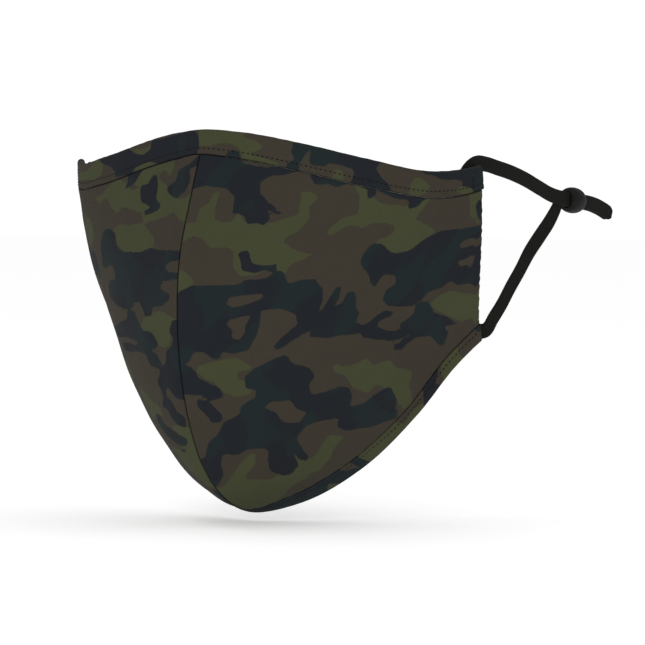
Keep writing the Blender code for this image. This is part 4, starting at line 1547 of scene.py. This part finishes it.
@dataclass
class FoldedBand:
    """A strip of the printed cloth folded over one edge of the mask and stitched down."""

    edge: Edge
    pattern: Print
    flat_height: float
    folds: FoldSizes = FoldSizes()
    columns: int = 104
    leg_rows: int = 12
    seam_radius: float = 0.55
    seam_gap: float = 0.06
    allowance: float = 0.7
    stitch_line: float = 2.4
    stitch_dip: float = 0.22
    gather_pitch: float = 4.6
    gather_depth: float = 0.06
    return_gap: float = 0.5
    near_seam: tuple[float, ...] = (0.06, 0.16, 0.3, 0.5, 0.8, 1.2, 1.7)

    def build(self, finishes: Finishes) -> bpy.types.Object:
        """Makes the band and its stitches."""
        halves = {side: self._half(side) for side in Side}
        right, left = halves[Side.RIGHT], halves[Side.LEFT]
        grid, facing, places, crests, around, signed = (
            np.concatenate([far[:0:-1], near]) for far, near in zip(right, left)
        )
        name = f"{self.edge.value}_band_cloth"
        mesh = grid_mesh(name, grid, flip=self.edge is Edge.BOTTOM)
        set_cloth_uv(mesh, signed + 300.0, around)
        set_attribute(mesh, "crest", crests)
        # Distance from the seam line, which the printed material uses for its painted shadow along the seam.
        set_attribute(mesh, "crease", np.minimum(places, 9.0))
        self.pattern.mark(mesh, signed, around)
        piece = new_object(name, mesh, finishes.printed)
        thicken(piece, self.folds.cloth)
        placed(piece, "root", "printed_cloth", f"{self.edge.value}_band")
        stitches = self._stitches(grid, facing, places, finishes)
        return piece

    def _half(self, side: Side) -> tuple[np.ndarray, ...]:
        """One side's half of the band.

        Args:
            side: the wearer's side.

        Returns:
            Points, outward directions, places from the seam line, fold mask, distance round the
            fold and signed distance from the middle, each by column and row.
        """
        across = np.linspace(0.0, 1.0, self.columns + 1)
        line, run, line_normal, rim_normal = self._lines(CUTS[side], across)
        length = np.linalg.norm(run, axis=1)
        along = running_length(line)
        sections = [self._section(width, place) for width, place in zip(length, along)]
        places, depths, crests = (np.stack(values) for values in zip(*sections))
        share = (places / length[:, None])[..., None]
        facing = unit((1 - share) * line_normal[:, None] + share * rim_normal[:, None])
        grid = line[:, None] + share * run[:, None] - depths[..., None] * facing
        around = running_length(grid, axis=1) - self.allowance
        signed = side.sign * along[:, None] + 0.0 * around
        return mirrored(grid, side), mirrored(facing, side), places, crests, around, signed

    def _lines(
        self, cut: MaskCut, across: np.ndarray
    ) -> tuple[np.ndarray, np.ndarray, np.ndarray, np.ndarray]:
        """The seam line, the way from it to the rim, and the outward directions of both."""
        ends = np.array([0.0, 1.0])
        panel = cut.panel(across, ends)
        normals, rim_normals = cut.facing(across, ends)
        low, high = cut.rims(across)
        if self.edge is Edge.TOP:
            return panel[:, 1], high - panel[:, 1], normals[:, 1], rim_normals[:, 1]
        return panel[:, 0], low - panel[:, 0], normals[:, 0], rim_normals[:, 0]

    def _section(self, width: float, along: float) -> tuple[np.ndarray, np.ndarray, np.ndarray]:
        """The band's section at one place along it.

        Args:
            width: how far the rim is from the seam line.
            along: distance from the middle of the mask.

        Returns:
            Place from the seam line, depth and crest mask, for each row.
        """
        fold = self.folds.radius
        start = [self.seam_gap + step for step in self.near_seam]
        legs = [*start, *np.linspace(start[-1], width - fold, self.leg_rows)[1:]]
        wave = gathers(np.array([along]), self.gather_pitch)[0]
        rows = [(self.seam_gap, self.seam_radius + self.allowance, 0.0)]
        for place in legs:
            dip = self.stitch_dip * math.exp(-(((place - self.stitch_line) / 0.55) ** 2))
            ripple = self.gather_depth * wave * math.exp(-abs(place - self.stitch_line) / 2.5)
            roll = float(rolled(np.array([place - self.seam_gap]), self.seam_radius)[0])
            rows.append((place, roll + dip + ripple * min(1.0, place), 0.0))
        swell = 0.05 * gathers(np.array([along + 1.0]), 7.5)[0]
        for share in np.linspace(0.0, 1.0, self.folds.steps + 1)[1:]:
            turn = math.pi * share
            reach = (fold + swell * math.sin(turn)) * math.sin(turn)
            rows.append((width - fold + reach, fold - fold * math.cos(turn), math.sin(turn) ** 2))
        for place in np.linspace(width - fold, self.return_gap, 8)[1:]:
            rows.append((place, 2 * fold + 0.08 * wave * min(1.0, (width - place) / 4), 0.0))
        return tuple(np.array(values) for values in zip(*rows))

    def _stitches(
        self, grid: np.ndarray, facing: np.ndarray, places: np.ndarray, finishes: Finishes
    ) -> bpy.types.Object:
        """The stitch rows that hold the band: outside, and their backs on the inner leg."""
        row = StitchRow()
        away = np.abs(places - self.stitch_line)
        outside = 1 + len(self.near_seam) + self.leg_rows
        outer = away[:, :outside].argmin(axis=1)
        inner = places.shape[1] - 1 - away[:, ::-1][:, :6].argmin(axis=1)
        columns = np.arange(len(grid))
        made = []
        for rows, direction in ((outer, 1.0), (inner, -1.0)):
            made.extend(row.along(grid[columns, rows], direction * facing[columns, rows]))
        return row.join(f"{self.edge.value}_band_stitching", made, finishes.thread)


@dataclass
class NoseWire:
    """The flat strip of aluminium inside the top band, with its edges rounded over."""

    depth: float = 1.15
    thickness: float = 0.5
    low: float = 4.9
    high: float = 8.1
    reach: float = 6 / 14
    columns: int = 60

    def build(self, finishes: Finishes) -> bpy.types.Object:
        """Makes the strip."""
        across = np.linspace(0.0, self.reach, self.columns + 1)
        ends = np.array([0.0, 1.0])
        cut = CUTS[Side.LEFT]
        line = cut.panel(across, ends)[:, 1]
        normals, rim_normals = cut.facing(across, ends)
        run = cut.rims(across)[1] - line
        length = np.linalg.norm(run, axis=1, keepdims=True)
        centre_place = (self.low + self.high) / 2
        share = centre_place / length
        facing = unit((1 - share) * normals[:, 1] + share * rim_normals[:, 1])
        centres = line + share * run - (self.depth + self.thickness / 2) * facing
        turns = np.linspace(0.0, 2 * math.pi, 25)[:-1]
        half = (self.high - self.low) / 2
        square = np.stack([np.cos(turns), np.sin(turns)], axis=1)
        outline = np.sign(square) * np.abs(square) ** 0.35 * (half, self.thickness / 2)
        aside = unit(run)
        centres = np.concatenate([centres[:0:-1] * (-1, 1, 1), centres])
        aside = np.concatenate([aside[:0:-1] * (-1, 1, 1), aside])
        facing = np.concatenate([facing[:0:-1] * (-1, 1, 1), facing])
        rings = tube_rings(centres, aside, facing, outline)
        mesh = points_mesh("nose_wire_strip", rings, ring_faces(len(rings), len(outline)))
        along = np.repeat(running_length(centres)[:, None], len(outline), axis=1)
        set_cloth_uv(mesh, along, np.broadcast_to(outline[:, 0], along.shape))
        return placed(new_object("nose_wire_strip", mesh, finishes.wire), "root", "nose_wire", "nose_wire")


# ---------------------------------------------------------------------------------------------
# Ear loops
# ---------------------------------------------------------------------------------------------


@dataclass(frozen=True)
class LoopRoute:
    """Where the flat elastic runs on the wearer's left, as (point, direction its face looks)."""

    upper_sewn: tuple = (((75.4, -2.6, 44.0), (0.86, -0.50, 0.00)),)
    lower_sewn: tuple = (
        ((66.8, 17.4, -12.0), (0.78, -0.58, -0.20)),
        ((71.2, 21.3, -9.2), (0.80, -0.55, -0.20)),
    )
    upper: tuple = (
        ((78.8, 4.5, 52.3), (0.90, -0.42, 0.00)),
        ((80.6, 9.4, 52.0), (0.95, -0.30, 0.05)),
        ((82.4, 15.4, 50.8), (0.97, -0.22, 0.05)),
        ((83.9, 24.3, 49.3), (0.98, -0.17, 0.02)),
        ((85.8, 35.1, 46.8), (0.98, -0.17, 0.00)),
        ((87.6, 45.9, 43.6), (0.98, -0.17, 0.00)),
        ((89.2, 54.8, 41.0), (0.98, -0.17, 0.00)),
    )
    lower: tuple = (
        ((74.5, 24.6, -8.7), (0.92, -0.38, 0.00)),
        ((76.4, 28.0, -4.2), (0.94, -0.32, 0.00)),
        ((78.2, 31.6, 0.6), (0.95, -0.30, 0.00)),
        ((79.9, 35.6, 6.4), (0.95, -0.30, 0.00)),
        ((81.8, 40.9, 12.9), (0.95, -0.30, 0.00)),
        ((83.6, 46.2, 19.7), (0.90, -0.42, 0.00)),
        ((85.6, 52.2, 25.8), (0.86, -0.50, 0.00)),
        ((87.5, 57.3, 31.2), (0.90, -0.40, 0.00)),
        ((88.9, 60.4, 35.8), (0.97, -0.22, 0.00)),
    )
    right_upper_drop: tuple[float, ...] = (1.6, 1.4, 0.6)
    bead_centre: Point = (91.8, 70.4, 39.0)
    bead_axis: Point = (0.166, 0.983, -0.080)
    tail: tuple[Point, ...] = ((94.4, 86.4, 37.3), (95.6, 93.2, 35.6), (96.6, 98.6, 33.6))
    tail_facing: Point = (0.985, -0.166, 0.0)
    layer_offset: float = 0.75
    strand_end: float = 5.1
    strand_straight: float = 8.0
    face_gap: float = 0.3

    def bead_frame(self) -> tuple[np.ndarray, np.ndarray, np.ndarray]:
        """The bead's centre, its axis and the direction that the elastic's faces look in there."""
        axis = unit(self.bead_axis)
        facing = unit(self.tail_facing - np.dot(self.tail_facing, axis) * axis)
        return np.array(self.bead_centre), axis, facing

    def lines(self, side: Side) -> tuple[np.ndarray, np.ndarray, float, float]:
        """Dense lines of the upper and lower elastic, and how far along each leaves the mask."""
        upper = [(list(point), facing) for point, facing in self.upper]
        if side is Side.RIGHT:
            for (point, _), drop in zip(upper, self.right_upper_drop):
                point[2] -= drop
        upper_line = self._line([*self.upper_sewn, *upper], 1)
        lower_line = self._line([*self.lower_sewn, *self.lower], -1)
        upper_exit = self._distance(upper_line, upper[0][0])
        lower_exit = self._distance(lower_line, self.lower[0][0])
        return upper_line, lower_line, upper_exit, lower_exit

    def _line(self, points: list, side_of_slot: int) -> np.ndarray:
        """A dense line of (point, facing, tangent) from the sewn end into the bead."""
        centre, axis, facing = self.bead_frame()
        layer = centre + side_of_slot * self.layer_offset * facing
        reaches = (self.strand_straight, self.strand_end, 0.0)
        lead_in = [(*(layer - reach * axis), *facing) for reach in reaches]
        line = smooth_curve([*[(*point, *look) for point, look in points], *lead_in])
        return np.hstack([line, unit(np.gradient(line[:, :3], axis=0))])

    @staticmethod
    def _distance(line: np.ndarray, point: Sequence[float]) -> float:
        """How far along a dense line the point nearest to this one lies."""
        nearest = int(np.linalg.norm(line[:, :3] - point, axis=1).argmin())
        return float(running_length(line)[nearest])

    def tail_line(self) -> np.ndarray:
        """The doubled end: out through the bead, folded back, and in again."""
        centre, axis, facing = self.bead_frame()
        front = centre - (self.strand_end - self.face_gap) * axis
        back = centre + self.strand_end * axis
        middle = spaced(smooth_curve([front, centre, back, *self.tail]), np.linspace(0, 1, 40))
        tangents = unit(np.gradient(middle, axis=0))
        faces = unit(facing - (tangents @ facing)[:, None] * tangents)
        outgoing = np.hstack([middle + self.layer_offset * faces, faces])
        turning = []
        for turn in np.linspace(0.0, math.pi, 9)[1:-1]:
            radial = math.cos(turn) * faces[-1] + math.sin(turn) * tangents[-1]
            turning.append((*(middle[-1] + self.layer_offset * radial), *radial))
        incoming = np.hstack([middle - self.layer_offset * faces, -faces])[::-1]
        line = np.vstack([outgoing, turning, incoming])
        return np.hstack([line, unit(np.gradient(line[:, :3], axis=0))])


@dataclass
class Elastic:
    """Flat knitted elastic: a low oblong section with lengthwise ribs."""

    width: float = 5.6
    thickness: float = 1.1
    ribs: int = 7
    rib_depth: float = 0.07
    step: float = 0.7
    face_points: int = 29

    def section(self) -> np.ndarray:
        """The outline across the elastic, and how far round it each point is."""
        half = self.width / 2
        deep = self.thickness / 2
        across = np.linspace(half - 0.25, 0.25 - half, self.face_points)
        ribbed = self.rib_depth * (1.0 - np.abs(np.sin(math.pi * self.ribs * (across / self.width + 0.5))))
        face = np.stack([across, deep - ribbed], axis=1)
        turns = np.linspace(math.pi / 2, -math.pi / 2, 7)[1:-1]
        edge = np.stack([-(half - 0.25) - 0.25 * np.cos(turns), (deep - 0.05) * np.sin(turns)], axis=1)
        return np.concatenate([face, edge, -face, -edge])

    def stretch(
        self,
        name: str,
        line: np.ndarray,
        start: float,
        end: float,
        side: Side,
        width_at: Callable[[np.ndarray], np.ndarray] = np.ones_like,
    ) -> bpy.types.Mesh:
        """A stretch of elastic between two distances along a dense line.

        Args:
            name: the mesh's name.
            line: stations of (point, facing, tangent) on the left side.
            start: where the stretch starts.
            end: where it ends.
            side: the side that it is made for.
            width_at: the share of its full width that it has at each distance.

        Returns:
            The mesh, with its place on the flat elastic as UV map.
        """
        count = max(4, round((end - start) / self.step) + 1)
        length = running_length(line)[-1]
        rows = spaced(line, np.linspace(start, end, count) / length)
        tangent = unit(rows[:, 6:9])
        facing = rows[:, 3:6]
        facing = unit(facing - (facing * tangent).sum(1, keepdims=True) * tangent)
        outline = self.section()
        places = np.linspace(start, end, count)
        wide = np.cross(facing, tangent) * width_at(places)[:, None]
        rings = tube_rings(rows[:, :3], wide, facing, outline)
        mesh = points_mesh(name, mirrored(rings, side), ring_faces(count, len(outline)))
        mesh.shade_smooth()
        mesh.set_sharp_from_angle(angle=math.radians(65))
        along = np.repeat(places[:, None], len(outline), axis=1)
        set_cloth_uv(mesh, np.broadcast_to(outline[:, 0], along.shape), along)
        return mesh


@dataclass
class Bead:
    """The silicone bead that tightens the loop, with a slot for both layers of elastic."""

    diameter: float = 9.8
    end_diameter: float = 7.2
    length: float = 8.4
    slot_width: float = 3.3
    slot_height: float = 6.3
    rim_round: float = 0.7
    segments: int = 72
    rings: int = 25

    def profile(self) -> np.ndarray:
        """Half outline of the barrel, as (radius, height) from end to end."""
        places = np.sin(np.linspace(-math.pi / 2, math.pi / 2, self.rings))
        swell = np.sqrt(np.maximum(1.0 - places**2, 0.0))
        radius = self.end_diameter / 2 + (self.diameter - self.end_diameter) / 2 * swell**0.9
        flat = self.end_diameter / 2 - self.rim_round
        heights = places * self.length / 2
        turns = np.linspace(0.0, math.pi / 2, 5)[:-1]
        corner = np.stack([flat + self.rim_round * np.sin(turns), self.rim_round * (1 - np.cos(turns))], 1)
        start = np.column_stack([corner[:, 0], corner[:, 1] * 0.55 - self.length / 2])
        body = np.column_stack([radius, heights * 0.905])
        return np.concatenate([start, body, start[::-1] * (1, -1)])

    def mould_line(self, radius: np.ndarray, turn: float) -> np.ndarray:
        """Radius with the fine line where the halves of the mould met."""
        away = min(abs(math.sin(turn)) * self.diameter / 2, 1.0)
        return radius + 0.07 * math.exp(-((away / 0.16) ** 2))

    def build(self, name: str, placement: Matrix, material: bpy.types.Material) -> bpy.types.Object:
        """Makes the bead where the placement puts it."""
        outline = self.profile()
        rings = []
        for turn in 2 * math.pi * np.arange(self.segments) / self.segments:
            radius = self.mould_line(outline[:, 0], turn)
            rings.append(np.column_stack([radius * np.cos(turn), radius * np.sin(turn), outline[:, 1]]))
        points = np.stack(rings, axis=1)
        barrel = new_object(name, points_mesh(name, points, ring_faces(*points.shape[:2])), material)
        cutter = self._cutter(material)
        cut = barrel.modifiers.new("slot", "BOOLEAN")
        cut.operation = "DIFFERENCE"
        cut.solver = "EXACT"
        cut.object = cutter
        ease = barrel.modifiers.new("slot_edge", "BEVEL")
        ease.width = 0.22 * MM
        ease.segments = 3
        ease.limit_method = "ANGLE"
        ease.angle_limit = math.radians(50)
        graph = bpy.context.evaluated_depsgraph_get()
        mesh = bpy.data.meshes.new_from_object(barrel.evaluated_get(graph))
        barrel.modifiers.clear()
        barrel.data = mesh
        bpy.data.objects.remove(cutter)
        mesh.transform(placement)
        if placement.determinant() < 0:
            mesh.flip_normals()
        mesh.shade_smooth()
        mesh.set_sharp_from_angle(angle=math.radians(60))
        return barrel

    def _cutter(self, material: bpy.types.Material) -> bpy.types.Object:
        """The oblong that is taken out of the barrel."""
        turns = np.linspace(0.0, 2 * math.pi, 33)[:-1]
        round_corner = np.stack([np.cos(turns), np.sin(turns)], axis=1)
        outline = np.sign(round_corner) * np.abs(round_corner) ** 0.45
        outline = outline * (self.slot_width / 2, self.slot_height / 2)
        ends = (-self.length, self.length)
        rings = np.stack([np.column_stack([outline, np.full(len(outline), end)]) for end in ends])
        mesh = points_mesh("slot_cutter", rings, ring_faces(2, len(outline)))
        return new_object("slot_cutter", mesh, material)


@dataclass
class EarLoop:
    """One ear loop: two sewn ends, two strands, the doubled tail and the bead."""

    side: Side
    route: LoopRoute = LoopRoute()
    elastic: Elastic = field(default_factory=Elastic)
    bead: Bead = field(default_factory=Bead)
    mouth: float = 9.0
    tip_radius: float = 3.2
    tip_least: float = 0.3
    tip_step: float = 0.3

    def build(self, finishes: Finishes) -> None:
        """Makes every piece of the loop."""
        side = self.side.value
        upper_line, lower_line, upper_exit, lower_exit = self.route.lines(self.side)
        bead = self._bead(finishes)
        tail = self._tail(finishes)
        strands = []
        for part, line, leaves in (("upper", upper_line, upper_exit), ("lower", lower_line, lower_exit)):
            sewn_name = f"sewn_end_{part}_{side}"
            sewn_mesh = self.elastic.stretch(sewn_name, line, 0.0, leaves, self.side)
            sewn = new_object(sewn_name, sewn_mesh, finishes.elastic)
            placed(sewn, "root", "elastic", f"strap_end_{part}_{side}")
            pieces = [self._mouth(part, line, leaves, finishes)]
            if part == "upper":
                pieces.append(tail)
            strands.append(self._strand(part, line, leaves, finishes))
        LOG.info("ear loop %s: %d strands, %s, %s", side, len(strands), tail.name, bead.name)

    def _mouth(self, part: str, line: np.ndarray, leaves: float, finishes: Finishes) -> bpy.types.Object:
        """The first stretch outside the mask."""
        name = f"strap_mouth_{part}_{self.side.value}"
        mesh = self.elastic.stretch(name, line, leaves, leaves + self.mouth, self.side)
        piece = new_object(name, mesh, finishes.elastic)
        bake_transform(piece)
        LOG.info("%s bends between the mask and its loop", name)
        return piece

    def _strand(
        self,
        part: str,
        line: np.ndarray,
        leaves: float,
        finishes: Finishes,
    ) -> bpy.types.Object:
        """The free strand from its mouth into the bead."""
        name = f"strap_strand_{part}_{self.side.value}"
        end = running_length(line)[-1] - self.route.strand_end + self.route.face_gap
        start = leaves + self.mouth
        mesh = self.elastic.stretch(name, line, start, end, self.side)
        piece = new_object(name, mesh, finishes.elastic)
        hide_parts(f"strand_{part}_{self.side.value}")
        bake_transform(piece)
        return piece

    def _tail(self, finishes: Finishes) -> bpy.types.Object:
        """The doubled end beyond the bead."""
        name = f"strap_tail_fold_{self.side.value}"
        line = self.route.tail_line()
        whole = running_length(line)[-1]

        def rounded(places: np.ndarray) -> np.ndarray:
            """The tail's width share, which rounds off towards the fold at its tip."""
            reach = np.abs(places - whole / 2)
            turn = np.clip(reach / self.route.layer_offset, 0.0, math.pi / 2)
            bent = self.route.layer_offset * (1 - np.cos(turn))
            straight = np.maximum(reach - self.route.layer_offset * math.pi / 2, 0.0)
            short = 1.0 - np.clip((bent + straight) / self.tip_radius, 0.0, 1.0)
            return np.maximum(np.sqrt(1.0 - short**2), self.tip_least)

        fine = replace(self.elastic, step=self.tip_step)
        mesh = fine.stretch(name, line, 0.0, whole, self.side, rounded)
        piece = new_object(name, mesh, finishes.elastic)
        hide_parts(f"strap_tail_{self.side.value}")
        centre, _, _ = self.route.bead_frame()
        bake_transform(piece)
        return piece

    def _bead(self, finishes: Finishes) -> bpy.types.Object:
        """The bead on this side."""
        centre, axis, facing = self.route.bead_frame()
        aside = np.cross(axis, facing)
        turned = Matrix([[*row, 0.0] for row in np.stack([facing, aside, axis], axis=1)] + [[0, 0, 0, 1]])
        scale = Matrix.Diagonal((self.side.sign, 1, 1, 1))
        placement = scale @ Matrix.Translation(Vector(centre * MM)) @ turned
        bead = self.bead.build(f"bead_barrel_{self.side.value}", placement, finishes.silicone)
        return placed(bead, f"slider_{self.side.value}", "bead", f"bead_{self.side.value}")


# ---------------------------------------------------------------------------------------------
# Small stitching
# ---------------------------------------------------------------------------------------------


@dataclass
class BarTack:
    """A short dense row of stitches across the band, where the elastic is caught inside."""

    side: Side
    share: float
    low: float = 0.7
    high: float = 5.2
    rows: int = 5
    width: float = 1.0

    def stitches(self) -> list[np.ndarray]:
        """The rings of each stitch."""
        across = np.array([self.share - 0.002, self.share + 0.002])
        ends = np.array([0.0, 1.0])
        cut = CUTS[self.side]
        line = cut.panel(across, ends)[:, 1]
        normals, rim_normals = cut.facing(across, ends)
        run = cut.rims(across)[1] - line
        length = np.linalg.norm(run, axis=1, keepdims=True)
        direction = unit(line[1] - line[0])
        row = StitchRow(length=self.width, radius=0.2, proud=0.1)
        made = []
        for place in np.linspace(self.low, self.high, self.rows):
            share = place / length[0]
            facing = unit((1 - share) * normals[0, 1] + share * rim_normals[0, 1])
            centre = line[0] + share * run[0]
            half = self.width / 2 * direction
            rings = row.rings(centre - half, centre + half, facing)
            made.append(mirrored(rings, self.side))
        return made


# ---------------------------------------------------------------------------------------------
# Studio
# ---------------------------------------------------------------------------------------------


@dataclass
class Studio:
    """The pale floor that the mask stands over, its soft light and the camera."""

    floor_gap: float = 3.0
    floor_reach: float = 9000.0
    azimuth: float = 25.46
    elevation: float = 2.06
    distance: float = 1207.1
    target: Point = (0.0, -35.0, -5.0)
    aim_aside: float = 32.5
    lens: float = 187.16

    def camera(self) -> None:
        """Puts up the camera."""
        azimuth = math.radians(self.azimuth)
        elevation = math.radians(self.elevation)
        back = Vector(
            (
                math.sin(azimuth) * math.cos(elevation),
                -math.cos(azimuth) * math.cos(elevation),
                math.sin(elevation),
            )
        )
        right = Vector((math.cos(azimuth), math.sin(azimuth), 0.0))
        target = Vector(self.target)
        place = (target + self.distance * back) * MM
        aim = (target + self.aim_aside * right) * MM
        data = bpy.data.cameras.new("camera")
        data.lens = self.lens
        made = bpy.data.objects.new("camera", data)
        made.location = place
        made.rotation_euler = (aim - place).to_track_quat("-Z", "Y").to_euler()
        bpy.context.scene.collection.objects.link(made)
        bpy.context.scene.camera = made

    def floor(self) -> None:
        """Makes the wide flat floor."""
        level = CAD_BOX[0].z / MM - self.floor_gap
        reach = (-self.floor_reach, self.floor_reach)
        grid = np.array([[(x, y, level) for y in reach] for x in reach])
        maker = MaterialMaker("pale_floor", 0.9)
        maker.shader["Base Color"].default_value = (0.94, 0.94, 0.94, 1.0)
        maker.shader["Specular IOR Level"].default_value = 0.0
        maker.shader["Emission Color"].default_value = (1.0, 1.0, 1.0, 1.0)
        maker.shader["Emission Strength"].default_value = 0.345
        made = new_object("studio_floor", grid_mesh("studio_floor", grid, flip=False), maker.material)

    def lights(self) -> None:
        """Puts up the soft light: white all round, a high lamp and a weaker low one."""
        world = bpy.data.worlds.new("soft_white")
        world.use_nodes = True
        tree = world.node_tree
        background = tree.nodes["Background"].inputs
        background["Color"].default_value = (1.0, 1.0, 1.0, 1.0)
        seen = tree.nodes.new("ShaderNodeLightPath").outputs["Is Camera Ray"]
        brighter = tree.nodes.new("ShaderNodeMath")
        brighter.operation = "MULTIPLY_ADD"
        tree.links.new(seen, brighter.inputs[0])
        brighter.inputs[1].default_value = 0.36
        brighter.inputs[2].default_value = 0.68
        tree.links.new(brighter.outputs[0], background["Strength"])
        bpy.context.scene.world = world
        self._lamp("high_lamp", Vector((-0.35, -0.75, 1.3)), 2.4)
        self._lamp("low_lamp", Vector((0.45, -1.2, 0.05)), 5.6)
        bpy.context.scene.view_settings.view_transform = "Standard"

    @staticmethod
    def _lamp(name: str, place: Vector, power: float) -> None:
        """A wide soft lamp that looks at the mask."""
        data = bpy.data.lights.new(name, "AREA")
        data.shape = "RECTANGLE"
        data.size = 1.0
        data.size_y = 0.3
        data.energy = power
        lamp = bpy.data.objects.new(name, data)
        lamp.location = place
        lamp.rotation_euler = (-place).to_track_quat("-Z", "Y").to_euler()
        bpy.context.scene.collection.objects.link(lamp)

    def build(self) -> None:
        """Puts up everything but the camera."""
        self.floor()
        self.lights()


def build_loops(finishes: Finishes) -> None:
    """Both ear loops."""
    for side in Side:
        EarLoop(side).build(finishes)


def build_cloth(finishes: Finishes) -> None:
    """The panels, the inner plies, the bands and their stitching."""
    prints = {Side.LEFT: LEFT_PANEL_PRINT, Side.RIGHT: RIGHT_PANEL_PRINT}
    for side in Side:
        OuterPanel(side, prints[side]).build(finishes)
        InnerPly(side, "interlining", "interlining", 0.9, 0.3, 28, 30).build(finishes.interlining)
        InnerPly(side, "lining", "lining", 1.6, 0.4, 64, 72).build(finishes.lining)
    FoldedBand(Edge.TOP, TOP_BAND_PRINT, flat_height=20.0).build(finishes)
    FoldedBand(Edge.BOTTOM, BOTTOM_BAND_PRINT, flat_height=18.0).build(finishes)
    NoseWire().build(finishes)
    tacks = []
    for side, share in ((Side.LEFT, 0.955), (Side.RIGHT, 0.955), (Side.RIGHT, 0.89)):
        tacks.extend(BarTack(side, share).stitches())
    StitchRow(radius=0.2).join("bar_tacks", tacks, finishes.thread)


def main() -> None:
    """Builds the mask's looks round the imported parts."""
    logging.basicConfig(level=logging.INFO, format="%(message)s")
    studio = Studio()
    studio.camera()
    finishes = Finishes.make()
    build_loops(finishes)
    build_cloth(finishes)
    studio.build()


if __name__ == "__main__":
    main()
